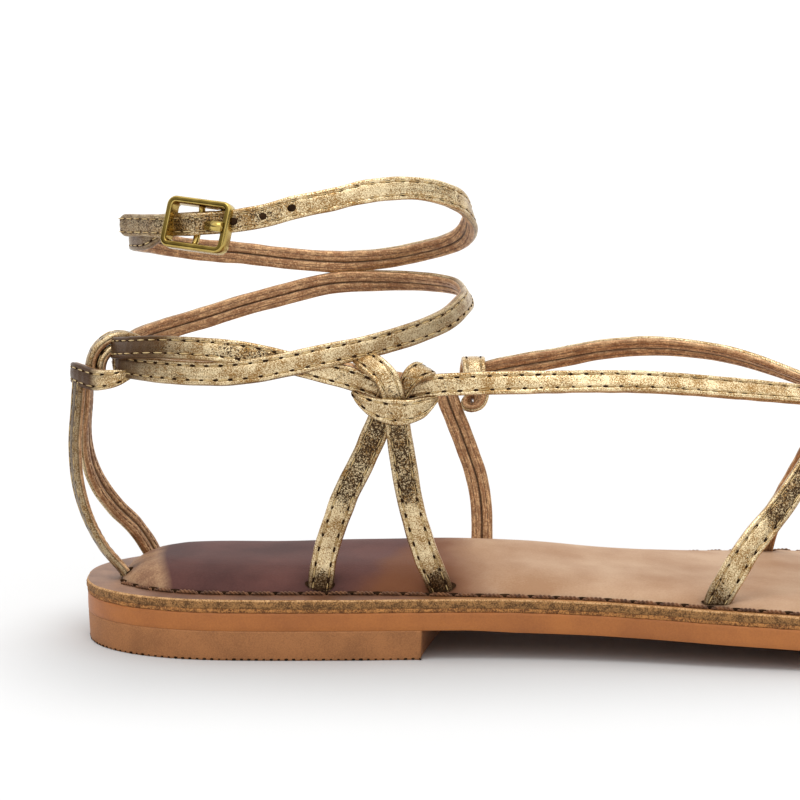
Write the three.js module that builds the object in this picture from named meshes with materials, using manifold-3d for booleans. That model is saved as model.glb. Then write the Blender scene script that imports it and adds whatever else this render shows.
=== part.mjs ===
// A flat strappy sandal for the right foot: a layered sole, a padded insole and an upper of narrow straps.
// Millimetres. X runs from the back of the heel to the toe, +Y is the inner side of the foot, Z is up.
import * as THREE from "three";
import { mergeVertices } from "three/addons/utils/BufferGeometryUtils.js";
import Module from "manifold-3d";

const wasm = await Module();
wasm.setup();

// Sole outline
const SOLE_LENGTH = 245;
const HEEL_WIDTH = 57.5;
const WAIST_WIDTH = 52.5;
const BALL_WIDTH = 80.5;
const HEEL_ROUND = 34; // length of the rounded back of the heel
const TOE_ROUND = 62; // length of the rounded toe
const TOE_SHIFT = 10; // the tip of the toe lies this far to the inner side
const HEEL_POWER = 2.3;
const TOE_POWER = 2.2;

// Sole layers, from the floor up
const LIFT_THICKNESS = 5.8;
const OUTSOLE_THICKNESS = 4.0;
const MIDSOLE_THICKNESS = 0.9;
const FOOTBED_THICKNESS = 1.5;
const FIT = 0.3; // gap between two pieces that touch
const LAYER_STEP = 0.35; // each lower layer is trimmed this much closer
const HEEL_LENGTH = 75.5; // back of the heel to the breast, on the outer edge
const BREAST_SLANT = 8; // the breast lies this much further forward on the inner edge
const BREAST_HOLLOW = 2;
const TOE_SPRING = 1.4;

// Insole pad
const PAD_MARGIN = 6.2;
const PAD_BACK = 7.2;
const PAD_EDGE = 0.7;
const PAD_RAMP = 14.4; // length over which its back and front rise
const RAMP_POWER = 2.5;
const PAD_CROWN = 4.4;
const CROWN_POWER = 4;
const ARCH_RISE = 1.6;
const ARCH_PLACE = 0.34; // middle of the arch along the sole, and its reach, as shares of the length
const ARCH_REACH = 0.14;
const ARCH_SIDE = 0.45; // middle of the arch across the pad, and its reach, as shares of half the width
const ARCH_SPREAD = 0.5;

// Upper
const STRAP_WIDTH = 4.9;
const STRAP_THICKNESS = 1.9;
const STRAP_BEVEL = 0.5;
const SLOT_PLAY_WIDE = 1.2; // how much longer and wider a slot is than the strap in it
const SLOT_PLAY_THICK = 0.9;
const SLOT_REACH = 9.5; // height of the strap's end that cuts the slot
const UPPER_WIDTH = 58; // across the ankle straps
const UPPER_HEIGHT = 100; // floor to the middle of the top strap at the front

// Buckle
const BUCKLE_LENGTH = 13.8;
const BUCKLE_HEIGHT = 10.4;
const BUCKLE_BAR = 1.7;
const BUCKLE_DEPTH = 1.7;
const BUCKLE_CORNER = 2;
const WINDOW_CORNER = 1;
const CENTRE_BAR_RADIUS = 0.6;
const PRONG_WIDTH = 1.9;
const PRONG_THICKNESS = 1.0;
const BAR_DROP = 1.8; // the centre bar lies this much below the frame

// Sampling steps
const SOLE_STEP = 9;
const ROUND_STEPS = 9;
const STRAP_STEP = 4.4;
const PAD_COLUMNS = 8;
const BREAST_STEPS = 6;
const CORNER_STEPS = 3;
const BAR_SIDES = 10;
const WELD = 1e-4; // points closer than this are one point

// Sole outline, one row for each section: place along the sole, reach to the outer and inner side, width
const OUTLINE = [
  [0.0, 0.5, 0.5, HEEL_WIDTH],
  [0.14, 0.505, 0.5, HEEL_WIDTH],
  [0.24, 0.485, 0.49, HEEL_WIDTH],
  [0.31, 0.5, 0.52, WAIST_WIDTH],
  [0.375, 0.482, 0.515, WAIST_WIDTH],
  [0.44, 0.495, 0.54, WAIST_WIDTH],
  [0.5, 0.345, 0.395, BALL_WIDTH],
  [0.57, 0.385, 0.465, BALL_WIDTH],
  [0.635, 0.413, 0.525, BALL_WIDTH],
  [0.7, 0.43, 0.565, BALL_WIDTH],
  [0.76, 0.425, 0.575, BALL_WIDTH],
  [0.82, 0.4, 0.565, BALL_WIDTH],
  [0.9, 0.36, 0.54, BALL_WIDTH],
  [1.0, 0.32, 0.5, BALL_WIDTH],
];

// Underside of the outsole: place along the sole, height as a share of the heel lift, share of the toe spring
const PROFILE = [
  [0.0, 1.0, 0],
  [0.38, 1.0, 0],
  [0.45, 0.97, 0],
  [0.5, 0.92, 0],
  [0.57, 0.84, 0],
  [0.635, 0.76, 0],
  [0.7, 0.5, 0],
  [0.76, 0.22, 0],
  [0.82, 0.0, 0],
  [0.94, 0.0, 0],
  [1.0, 0.0, 1],
];

// Pad: place along the sole, margin outer and inner as shares of the pad margin, crown and edge as shares
const PAD = [
  [0.0, 1.0, 1.0, 1.0, 1.0],
  [0.1, 1.0, 0.9, 1.0, 1.0],
  [0.24, 1.0, 0.9, 1.0, 1.0],
  [0.3, 0.78, 0.75, 1.0, 1.0],
  [0.37, 0.45, 0.5, 0.95, 0.9],
  [0.45, 0.36, 0.4, 0.78, 0.75],
  [0.54, 0.32, 0.34, 0.5, 0.65],
  [0.65, 0.32, 0.32, 0.32, 0.6],
  [1.0, 0.32, 0.32, 0.25, 0.6],
];

// Slots: place along the sole, place across it from the outer to the inner edge, heading of the strap's face
const SLOTS = {
  outerRear: [0.2175, 0.167, -90],
  outerFront: [0.323, 0.104, -90],
  outerToe: [0.565, 0.063, -90],
  innerFront: [0.3545, 0.889, 90],
  innerToe: [0.62, 0.928, 90],
  outerHeel: [0.0345, 0.36, -160],
  innerHeel: [0.0495, 0.815, 160],
  toe: [0.842, 0.515, -90],
};

// Buckle place: along, across and up as in the routes, heading of its face, tilt of its length
const BUCKLE = [0.112, -0.455, 0.944, -110, -8.8];
// Prong, in the buckle's own plane: along the strap and outward, as shares of half the buckle's length
const PRONG = [
  [0.14, 0.0],
  [0.42, 0.42],
  [0.62, 0.5],
  [1.06, 0.5],
];
// The strap through the buckle: along the strap and outward, as shares of half the buckle's length
const OVER_BAR = [
  [1.2, -0.04],
  [0.82, -0.08],
  [0.0, 0.27],
  [-0.82, -0.08],
  [-1.2, -0.06],
];
const UNDER_BAR = [
  [0.62, -0.255],
  [0.3, -0.27],
  [-0.3, -0.27],
  [-0.82, -0.345],
  [-1.2, -0.325],
];
const STRAP_RISE = 0.09; // how steeply the strap rises through the buckle towards the front

// Route rows for the strap through the buckle; turn counts the whole turns that the route has made
function throughBuckle(table, turn) {
  const [along, across, up, heading] = BUCKLE;
  const outward = THREE.MathUtils.degToRad(heading);
  const half = BUCKLE_LENGTH / 2;
  return table.map(([u, w]) => {
    const x = -Math.sin(outward) * u + Math.cos(outward) * w;
    const y = Math.cos(outward) * u + Math.sin(outward) * w;
    const z = STRAP_RISE * u;
    return [
      along + (x * half) / SOLE_LENGTH,
      across + (y * half) / UPPER_WIDTH,
      up + (z * half) / UPPER_HEIGHT,
      heading + 360 * turn,
      0,
    ];
  });
}

// Strap routes. Each row is a point on the strap's middle: along as a share of the sole length, across as a
// share of the upper's width, up as a share of the upper's height, then the heading and the lift of the
// outer face in degrees (heading 0 faces the toe, 90 the inner side; lift 90 faces up).
const ROUTES = {
  outerRearLeg: {
    foot: "outerRear",
    rows: [
      [0.2215, -0.355, 0.222, -90, 0],
      [0.2385, -0.42, 0.346, -90, 0],
      [0.2535, -0.457, 0.428, -90, 0],
      [0.268, -0.483, 0.508, -90, 0],
      [0.2765, -0.495, 0.56, -90, 0],
      [0.281, -0.5, 0.6, -90, 0],
    ],
  },
  outerFrontLeg: {
    foot: "outerFront",
    rows: [
      [0.3105, -0.405, 0.23, -90, 0],
      [0.298, -0.457, 0.352, -90, 0],
      [0.293, -0.483, 0.432, -90, 0],
      [0.288, -0.505, 0.511, -90, 0],
      [0.285, -0.515, 0.56, -90, 0],
      [0.284, -0.51, 0.6, -90, 0],
    ],
  },
  innerLeg: {
    foot: "innerFront",
    rows: [
      [0.353, 0.41, 0.255, 90, 0],
      [0.345, 0.44, 0.325, 90, 0],
      [0.335, 0.457, 0.387, 90, 0],
      [0.3265, 0.466, 0.48, 90, 0],
      [0.333, 0.47, 0.53, 90, 0],
    ],
  },
  instepWrap: {
    rows: [
      [0.29, -0.505, 0.592, -90, 0],
      [0.253, -0.48, 0.617, -90, 0],
      [0.2, -0.48, 0.644, -90, 0],
      [0.163, -0.478, 0.664, -95, 0],
      [0.12, -0.445, 0.674, -106, 0],
      [0.077, -0.362, 0.672, -125, 0],
      [0.04, -0.225, 0.66, -148, 0],
      [0.0205, -0.05, 0.648, -172, 0],
      [0.0225, 0.13, 0.635, -200, 0],
      [0.049, 0.29, 0.62, -225, 0],
      [0.09, 0.397, 0.603, -245, 0],
      [0.163, 0.457, 0.583, -262, 0],
      [0.245, 0.466, 0.562, -270, 0],
      [0.31, 0.475, 0.545, -270, 0],
      [0.345, 0.475, 0.535, -270, 0],
    ],
  },
  lowerRing: {
    rows: [
      [0.0255, -0.02, 0.622, -175, 0],
      [0.04, -0.185, 0.618, -150, 0],
      [0.077, -0.35, 0.616, -125, 0],
      [0.12, -0.447, 0.617, -108, 0],
      [0.157, -0.493, 0.628, -98, 0],
      [0.192, -0.508, 0.648, -92, 0],
      [0.2275, -0.493, 0.664, -82, 0],
      [0.275, -0.424, 0.694, -62, 0],
      [0.322, -0.297, 0.728, -40, 0],
      [0.3435, -0.155, 0.755, -18, 0],
      [0.3495, 0.017, 0.768, 3, 0],
      [0.3385, 0.222, 0.774, 32, 0],
      [0.301, 0.36, 0.775, 58, 0],
      [0.256, 0.443, 0.771, 78, 0],
      [0.2105, 0.479, 0.762, 88, 0],
      [0.172, 0.479, 0.739, 95, 0],
      [0.127, 0.448, 0.71, 110, 0],
      [0.084, 0.374, 0.68, 128, 0],
      [0.044, 0.238, 0.655, 150, 0],
      [0.0235, 0.06, 0.632, 175, 0],
      [0.0275, -0.08, 0.62, 200, 0],
    ],
  },
  ankleStrap: {
    rows: [
      ...throughBuckle(UNDER_BAR, 0),
      [0.057, -0.265, 0.893, -138, 0],
      [0.037, -0.1, 0.882, -162, 0],
      [0.0345, 0.05, 0.872, -184, 0],
      [0.047, 0.214, 0.862, -208, 0],
      [0.081, 0.371, 0.846, -233, 0],
      [0.12, 0.452, 0.834, -250, 0],
      [0.158, 0.488, 0.822, -262, 0],
      [0.195, 0.5, 0.813, -270, 0],
      [0.2295, 0.486, 0.812, -278, 0],
      [0.2635, 0.448, 0.823, -288, 0],
      [0.301, 0.374, 0.843, -302, 0],
      [0.338, 0.231, 0.874, -328, 0],
      [0.351, 0.02, 0.926, -358, 0],
      [0.345, -0.155, 0.963, -379, 0],
      [0.334, -0.255, 0.981, -396, 0],
      [0.3125, -0.34, 0.999, -411, 0],
      [0.2875, -0.407, 1.006, -422, 0],
      [0.2575, -0.457, 1.002, -431, 0],
      [0.228, -0.486, 0.99, -440, 0],
      [0.197, -0.5, 0.98, -449, 0],
      [0.171, -0.499, 0.966, -457, 0],
      ...throughBuckle(OVER_BAR, -1),
      [0.0605, -0.3, 0.932, -491, 0],
      [0.0365, -0.165, 0.926, -508, 0],
    ],
  },
  outerInstep: {
    rows: [
      [0.3, -0.5, 0.596, -90, 5],
      [0.345, -0.462, 0.606, -88, 12],
      [0.418, -0.431, 0.61, -86, 24],
      [0.496, -0.362, 0.604, -82, 32],
      [0.5755, -0.259, 0.584, -74, 38],
      [0.64, -0.147, 0.562, -62, 46],
      [0.678, -0.04, 0.545, -48, 52],
    ],
  },
  innerInstep: {
    rows: [
      [0.34, 0.478, 0.54, 90, 5],
      [0.36, 0.469, 0.562, 90, 14],
      [0.4175, 0.448, 0.592, 88, 24],
      [0.4675, 0.414, 0.618, 86, 30],
      [0.5165, 0.362, 0.63, 82, 36],
      [0.5825, 0.259, 0.618, 74, 46],
      [0.643, 0.138, 0.578, 62, 56],
      [0.678, 0.04, 0.548, 48, 58],
    ],
  },
  outerToeLeg: {
    foot: "outerToe",
    rows: [
      [0.581, -0.448, 0.195, -88, 4],
      [0.594, -0.422, 0.243, -84, 8],
      [0.6225, -0.345, 0.331, -76, 18],
      [0.6385, -0.284, 0.387, -68, 26],
      [0.6575, -0.19, 0.446, -54, 36],
      [0.679, -0.086, 0.508, -34, 46],
      [0.69, -0.02, 0.54, -14, 50],
    ],
  },
  innerToeLeg: {
    foot: "innerToe",
    rows: [
      [0.626, 0.545, 0.205, 88, 6],
      [0.6375, 0.414, 0.282, 80, 16],
      [0.649, 0.31, 0.352, 70, 26],
      [0.66, 0.205, 0.42, 54, 36],
      [0.679, 0.086, 0.502, 34, 46],
      [0.69, 0.02, 0.54, 14, 50],
    ],
  },
  toeStrap: {
    foot: "toe",
    rows: [
      [0.838, 0.132, 0.19, -80, 3],
      [0.824, 0.118, 0.27, -62, 10],
      [0.796, 0.09, 0.37, -38, 26],
      [0.752, 0.05, 0.472, -14, 46],
      [0.712, 0.015, 0.53, 0, 58],
      [0.682, 0.0, 0.555, 0, 66],
    ],
  },
  outerHeelLeg: {
    foot: "outerHeel",
    rows: [
      [0.0155, -0.112, 0.206, -160, -12],
      [0.003, -0.112, 0.266, -160, -8],
      [-0.005, -0.103, 0.324, -162, -4],
      [-0.0095, -0.09, 0.375, -165, 0],
      [-0.0095, -0.075, 0.44, -168, 4],
      [-0.004, -0.06, 0.527, -170, 8],
      [-0.005, -0.062, 0.585, -172, 8],
    ],
  },
  innerHeelLeg: {
    foot: "innerHeel",
    rows: [
      [0.031, 0.215, 0.218, 160, -16],
      [0.0155, 0.172, 0.269, 160, -12],
      [0.0045, 0.129, 0.325, 162, -6],
      [-0.0025, 0.086, 0.385, 165, -2],
      [-0.004, 0.055, 0.447, 168, 2],
      [-0.0015, 0.033, 0.52, 170, 6],
      [-0.006, 0.028, 0.585, 172, 8],
    ],
  },
  heelBand: {
    rows: [
      [0.0505, -0.285, 0.608, -125, 0],
      [0.0345, -0.213, 0.594, -120, 0],
      [0.0175, -0.165, 0.583, -112, 0],
      [0.0, -0.125, 0.587, -130, 0],
      [-0.0125, -0.06, 0.588, -160, 0],
      [-0.014, 0.02, 0.588, -185, 0],
      [-0.006, 0.095, 0.59, -215, 0],
      [0.011, 0.15, 0.6, -235, 0],
      [0.033, 0.225, 0.63, -220, 0],
    ],
  },
  heelLoop: {
    rows: [
      [-0.003, -0.06, 0.55, 180, -5],
      [0.0005, -0.07, 0.6, 180, 8],
      [0.0065, -0.09, 0.648, 180, 30],
      [0.0205, -0.125, 0.687, 180, 62],
      [0.0395, -0.145, 0.701, 180, 90],
      [0.057, -0.15, 0.69, 180, 125],
      [0.064, -0.14, 0.655, 180, 160],
      [0.06, -0.125, 0.615, 180, 190],
      [0.045, -0.105, 0.58, 180, 215],
    ],
  },
  outerKnotBand: {
    rows: [
      [0.2475, -0.45, 0.615, -100, 10],
      [0.2545, -0.505, 0.59, -94, 0],
      [0.2675, -0.532, 0.565, -90, 0],
      [0.2885, -0.54, 0.555, -90, 0],
      [0.31, -0.53, 0.568, -86, 0],
      [0.3205, -0.505, 0.592, -80, 5],
      [0.3225, -0.45, 0.612, -70, 10],
    ],
  },
  outerKnotWrap: {
    rows: [
      [0.262, -0.43, 0.66, -100, 60],
      [0.268, -0.505, 0.65, -95, 30],
      [0.278, -0.548, 0.615, -90, 5],
      [0.285, -0.555, 0.575, -90, -5],
    ],
  },
  outerKnotTurn: {
    rows: [
      [0.3165, -0.43, 0.65, -80, 60],
      [0.305, -0.505, 0.64, -85, 30],
      [0.294, -0.545, 0.608, -90, 5],
      [0.289, -0.55, 0.575, -90, -5],
    ],
  },
  innerKnotBand: {
    rows: [
      [0.319, 0.43, 0.575, 100, 10],
      [0.321, 0.5, 0.53, 94, 0],
      [0.333, 0.52, 0.505, 90, 0],
      [0.35, 0.52, 0.51, 90, 0],
      [0.361, 0.495, 0.54, 80, 5],
      [0.362, 0.43, 0.575, 70, 10],
    ],
  },
  innerKnotWrap: {
    rows: [
      [0.336, 0.405, 0.585, 90, 60],
      [0.338, 0.47, 0.585, 90, 45],
      [0.343, 0.525, 0.55, 90, 5],
      [0.345, 0.515, 0.5, 90, -20],
      [0.345, 0.43, 0.478, 90, -70],
    ],
  },
  toeKnotBand: {
    rows: [
      [0.672, -0.105, 0.5, -75, 0],
      [0.676, -0.1, 0.54, -60, 40],
      [0.687, -0.04, 0.572, -25, 66],
      [0.69, 0.04, 0.572, 25, 66],
      [0.679, 0.1, 0.54, 60, 40],
      [0.672, 0.105, 0.5, 75, 0],
    ],
  },
};

// Reads a table at one place: a smooth curve through the rows that never overshoots them
function readTable(table, at) {
  const last = table.length - 1;
  if (at <= table[0][0]) return table[0].slice(1);
  if (at >= table[last][0]) return table[last].slice(1);
  let i = 0;
  while (table[i + 1][0] < at) i++;
  const slope = (k, column) => {
    const before = Math.max(k - 1, 0);
    const after = Math.min(k + 1, last);
    if (before === k || after === k) return 0;
    const left = (table[k][column] - table[before][column]) / (table[k][0] - table[before][0]);
    const right = (table[after][column] - table[k][column]) / (table[after][0] - table[k][0]);
    return left * right <= 0 ? 0 : (2 * left * right) / (left + right);
  };
  const span = table[i + 1][0] - table[i][0];
  const t = (at - table[i][0]) / span;
  return table[i].slice(1).map((value, k) => {
    const column = k + 1;
    const next = table[i + 1][column];
    const a = slope(i, column) * span;
    const b = slope(i + 1, column) * span;
    const s = t * t * (3 - 2 * t);
    return value + (next - value) * s + a * t * (1 - t) * (1 - t) - b * t * t * (1 - t);
  });
}

// The outline table with its widths worked out in millimetres
const REACH = OUTLINE.map(([at, outer, inner, width]) => [at, outer * width, inner * width]);

// Y of the sole's edge at a place X: side -1 is the outer edge, 1 the inner edge
function soleEdge(x, side) {
  const [outer, inner] = readTable(REACH, x / SOLE_LENGTH);
  const reach = side < 0 ? -outer : inner;
  if (x < HEEL_ROUND) {
    const share = Math.min(Math.max(1 - x / HEEL_ROUND, 0), 1);
    return reach * Math.pow(1 - Math.pow(share, HEEL_POWER), 1 / HEEL_POWER);
  }
  const toeStart = SOLE_LENGTH - TOE_ROUND;
  if (x <= toeStart) return reach;
  const share = Math.min((x - toeStart) / TOE_ROUND, 1);
  return TOE_SHIFT + (reach - TOE_SHIFT) * Math.pow(1 - Math.pow(share, TOE_POWER), 1 / TOE_POWER);
}

// Stations along the sole, closer together where heel and toe are round
function stations() {
  const places = [];
  const quarter = Math.PI / 2 / ROUND_STEPS;
  for (let k = 0; k < ROUND_STEPS; k++) places.push(HEEL_ROUND * (1 - Math.cos(quarter * k)));
  const middle = SOLE_LENGTH - TOE_ROUND - HEEL_ROUND;
  const steps = Math.round(middle / SOLE_STEP);
  for (let k = 0; k < steps; k++) places.push(HEEL_ROUND + (middle * k) / steps);
  for (let k = 0; k <= ROUND_STEPS; k++) {
    places.push(SOLE_LENGTH - TOE_ROUND * (1 - Math.sin(quarter * k)));
  }
  return places;
}

// The outline as rows of one outer and one inner point, moved inward by inset(place along, side)
function outline(inset) {
  const xs = stations();
  const sides = [-1, 1].map((side) => {
    const points = xs.map((x) => new THREE.Vector2(x, soleEdge(x, side)));
    return points.map((point, i) => {
      const before = i > 0 ? points[i - 1] : new THREE.Vector2(points[1].x, -points[1].y);
      const after = i < xs.length - 1 ? points[i + 1] : mirrored(points[i - 1], point);
      const tangent = after.clone().sub(before).normalize();
      const inward = new THREE.Vector2(-tangent.y, tangent.x).multiplyScalar(-side);
      return point.clone().addScaledVector(inward, inset(point.x / SOLE_LENGTH, side));
    });
  });
  const rows = xs.map((x, i) => [sides[0][i], sides[1][i]]);
  for (const row of [rows[0], rows[rows.length - 1]]) {
    const tip = row[0].clone().add(row[1]).multiplyScalar(0.5);
    row[0] = tip;
    row[1] = tip;
  }
  return rows;
}

// The point on the other side of the toe tip, used for the direction of the outline there
function mirrored(point, tip) {
  return new THREE.Vector2(point.x, 2 * tip.y - point.y);
}

// Underside of the outsole above the floor
function soleUnder(x) {
  const [lift, spring] = readTable(PROFILE, x / SOLE_LENGTH);
  return lift * (LIFT_THICKNESS + FIT) + spring * TOE_SPRING;
}

const outsoleTop = (x) => soleUnder(x) + OUTSOLE_THICKNESS;
const midsoleUnder = (x) => outsoleTop(x) + FIT;
const midsoleTop = (x) => midsoleUnder(x) + MIDSOLE_THICKNESS;
const footbedUnder = (x) => midsoleTop(x) + FIT;
const footbedTop = (x) => footbedUnder(x) + FOOTBED_THICKNESS;

// Top of the pad; across runs from -1 at its outer edge to 1 at its inner edge
function padTop(x, across) {
  const at = x / SOLE_LENGTH;
  const [, , crown, edge] = readTable(PAD, at);
  const ramp = (distance) => 1 - Math.pow(1 - THREE.MathUtils.clamp(distance / PAD_RAMP, 0, 1), RAMP_POWER);
  const rise = ramp(x - PAD_BACK) * ramp(SOLE_LENGTH - x);
  const bell = (offset, reach) => Math.exp(-((offset / reach) ** 2));
  const arch = ARCH_RISE * bell(at - ARCH_PLACE, ARCH_REACH) * bell(across - ARCH_SIDE, ARCH_SPREAD);
  const fall = 1 - Math.pow(Math.abs(across), CROWN_POWER);
  return footbedTop(x) + FIT + PAD_EDGE * edge + (PAD_CROWN * crown + arch) * fall * rise;
}

// A closed mesh from a list of points and faces; faces that have collapsed are left out
function closedMesh(points, faces) {
  const geometry = new THREE.BufferGeometry();
  const numbers = points.flatMap((p) => [p.x, p.y, p.z]);
  geometry.setAttribute("position", new THREE.Float32BufferAttribute(numbers, 3));
  geometry.setIndex(faces.flat());
  const merged = mergeVertices(geometry, WELD);
  const index = Array.from(merged.index.array);
  const kept = [];
  for (let i = 0; i < index.length; i += 3) {
    const [a, b, c] = index.slice(i, i + 3);
    if (a !== b && b !== c && a !== c) kept.push(a, b, c);
  }
  merged.setIndex(kept);
  return merged;
}

// A block whose rows run across X, each row a list of top points from the outer to the inner side;
// under(point) gives the height of the flat-ruled underside
function rowBlock(rows, under) {
  const columns = rows[0].length;
  const top = rows.flat();
  const low = top.map((p) => new THREE.Vector3(p.x, p.y, under(p.x)));
  const points = [...top, ...low];
  const shift = top.length;
  const faces = [];
  const quad = (a, b, c, d) => faces.push([a, b, c], [a, c, d]);
  for (let i = 0; i + 1 < rows.length; i++) {
    for (let k = 0; k + 1 < columns; k++) {
      const a = i * columns + k;
      const b = a + columns;
      quad(a, b, b + 1, a + 1);
      quad(shift + a, shift + a + 1, shift + b + 1, shift + b);
    }
    const outer = i * columns;
    const inner = outer + columns - 1;
    quad(outer, shift + outer, shift + outer + columns, outer + columns);
    quad(inner, inner + columns, shift + inner + columns, shift + inner);
  }
  return closedMesh(points, faces);
}

// One flat layer of the sole between two heights that depend on X
function layer(inset, under, over) {
  const rows = outline(() => inset).map((row) => row.map((p) => new THREE.Vector3(p.x, p.y, over(p.x))));
  return rowBlock(rows, under);
}

// Turns a mesh into a solid and back
function solid(geometry) {
  const bare = geometry.index ? geometry.toNonIndexed() : geometry.clone();
  bare.deleteAttribute("normal");
  bare.deleteAttribute("uv");
  const welded = mergeVertices(bare, WELD);
  return new wasm.Manifold(
    new wasm.Mesh({
      numProp: 3,
      vertProperties: new Float32Array(welded.getAttribute("position").array),
      triVerts: new Uint32Array(welded.index.array),
    }),
  );
}

function fromSolid(body) {
  const mesh = body.getMesh();
  const geometry = new THREE.BufferGeometry();
  geometry.setAttribute("position", new THREE.Float32BufferAttribute(mesh.vertProperties, 3));
  geometry.setIndex(Array.from(mesh.triVerts));
  return geometry;
}

// Direction of a strap's outer face
function facing(heading, lift) {
  const h = THREE.MathUtils.degToRad(heading);
  const l = THREE.MathUtils.degToRad(lift);
  return new THREE.Vector3(Math.cos(h) * Math.cos(l), Math.sin(h) * Math.cos(l), Math.sin(l));
}

// A slot's place on the sole
function slotPlace(name) {
  const [along, across, heading] = SLOTS[name];
  const x = along * SOLE_LENGTH;
  const outer = soleEdge(x, -1);
  return { x, y: outer + (soleEdge(x, 1) - outer) * across, heading };
}

// The points of a route in millimetres, with two upright rows in the slot where it starts at one
function routeRows(route) {
  const rows = route.rows.map(([along, across, up, heading, lift]) => {
    return [along * SOLE_LENGTH, across * UPPER_WIDTH, up * UPPER_HEIGHT, heading, lift];
  });
  if (!route.foot) return rows;
  const { x, y, heading } = slotPlace(route.foot);
  const low = footbedUnder(x) + FIT / 2;
  const high = low + FOOTBED_THICKNESS + PAD_EDGE + FIT;
  return [[x, y, low, heading, 0], [x, y, high, heading, 0], ...rows];
}

// Places along a strap: middle, direction across its width and direction of its outer face
function strapFrames(rows) {
  const curve = new THREE.CatmullRomCurve3(rows.map(([x, y, z]) => new THREE.Vector3(x, y, z)), false);
  const frames = [];
  const last = rows.length - 1;
  for (let i = 0; i < last; i++) {
    const from = new THREE.Vector3(...rows[i]);
    const length = from.distanceTo(new THREE.Vector3(...rows[i + 1]));
    const steps = Math.max(1, Math.round(length / STRAP_STEP));
    for (let k = 0; k < steps + (i === last - 1 ? 1 : 0); k++) {
      const t = k / steps;
      const middle = curve.getPoint((i + t) / last);
      const along = curve.getTangent((i + t) / last);
      const heading = rows[i][3] + (rows[i + 1][3] - rows[i][3]) * t;
      const lift = rows[i][4] + (rows[i + 1][4] - rows[i][4]) * t;
      const face = facing(heading, lift);
      face.addScaledVector(along, -face.dot(along)).normalize();
      const across = new THREE.Vector3().crossVectors(face, along);
      frames.push({ middle, along, face, across });
    }
  }
  return frames;
}

// A strap: an eight-sided section carried along its frames
function strap(frames, width, thickness) {
  const half = width / 2;
  const depth = thickness / 2;
  const bevel = STRAP_BEVEL;
  const section = [
    [half - bevel, depth],
    [-half + bevel, depth],
    [-half, depth - bevel],
    [-half, -depth + bevel],
    [-half + bevel, -depth],
    [half - bevel, -depth],
    [half, -depth + bevel],
    [half, depth - bevel],
  ];
  const count = section.length;
  const points = [];
  for (const { middle, face, across } of frames) {
    for (const [u, v] of section) {
      points.push(middle.clone().addScaledVector(across, u).addScaledVector(face, v));
    }
  }
  const faces = [];
  const end = (frames.length - 1) * count;
  for (let i = 0; i + 1 < frames.length; i++) {
    for (let k = 0; k < count; k++) {
      const a = i * count + k;
      const b = i * count + ((k + 1) % count);
      faces.push([a, b, b + count], [a, b + count, a + count]);
    }
  }
  for (let k = 1; k + 1 < count; k++) {
    faces.push([0, k + 1, k], [end, end + k, end + k + 1]);
  }
  return solid(closedMesh(points, faces));
}

// The lower end of a strap, made larger all round and longer below, to cut its slot with
function slotCutter(route) {
  const rows = routeRows(route);
  rows[0][2] -= FIT + FOOTBED_THICKNESS;
  const reach = rows[0][2] + SLOT_REACH;
  const frames = strapFrames(rows);
  const count = frames.findIndex(({ middle }) => middle.z > reach) + 1;
  return strap(frames.slice(0, count), STRAP_WIDTH + SLOT_PLAY_WIDE, STRAP_THICKNESS + SLOT_PLAY_THICK);
}

function slotted(geometry) {
  let body = solid(geometry);
  for (const route of Object.values(ROUTES)) {
    if (route.foot) body = body.subtract(slotCutter(route));
  }
  return fromSolid(body);
}

// Sole
function heelLift() {
  const body = solid(layer(2 * LAYER_STEP, () => 0, () => LIFT_THICKNESS));
  const reach = HEEL_WIDTH;
  const outerY = soleEdge(HEEL_LENGTH, -1);
  const innerY = soleEdge(HEEL_LENGTH, 1);
  const shape = new THREE.Shape();
  shape.moveTo(-HEEL_ROUND, -reach);
  shape.lineTo(HEEL_LENGTH, -reach);
  shape.lineTo(HEEL_LENGTH, outerY);
  const middle = HEEL_LENGTH + BREAST_SLANT / 2 - BREAST_HOLLOW;
  shape.quadraticCurveTo(middle, (outerY + innerY) / 2, HEEL_LENGTH + BREAST_SLANT, innerY);
  shape.lineTo(HEEL_LENGTH + BREAST_SLANT, reach);
  shape.lineTo(-HEEL_ROUND, reach);
  shape.closePath();
  const options = { depth: 3 * LIFT_THICKNESS, bevelEnabled: false, curveSegments: BREAST_STEPS };
  const block = new THREE.ExtrudeGeometry(shape, options);
  block.translate(0, 0, -LIFT_THICKNESS);
  return fromSolid(body.intersect(solid(block)));
}

function insolePad() {
  const margin = (at, side) => readTable(PAD, at)[side < 0 ? 0 : 1] * PAD_MARGIN;
  const rows = outline((at, side) => (at === 0 ? PAD_BACK : margin(at, side)));
  const tops = rows.map(([outer, inner]) => {
    const row = [];
    for (let k = 0; k <= PAD_COLUMNS; k++) {
      const across = -Math.cos((Math.PI * k) / PAD_COLUMNS);
      const p = outer.clone().lerp(inner, (across + 1) / 2);
      row.push(new THREE.Vector3(p.x, p.y, padTop(p.x, across)));
    }
    return row;
  });
  return slotted(rowBlock(tops, (x) => footbedTop(x) + FIT));
}

// The buckle's own frame: u along the strap, v up across it, w outward
function buckleMatrix() {
  const [along, across, up, heading, tilt] = BUCKLE;
  const outward = facing(heading, 0);
  const side = new THREE.Vector3().crossVectors(new THREE.Vector3(0, 0, 1), outward);
  const matrix = new THREE.Matrix4().makeBasis(side, new THREE.Vector3(0, 0, 1), outward);
  matrix.multiply(new THREE.Matrix4().makeRotationZ(THREE.MathUtils.degToRad(tilt)));
  matrix.setPosition(along * SOLE_LENGTH, across * UPPER_WIDTH, up * UPPER_HEIGHT);
  return matrix;
}

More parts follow.
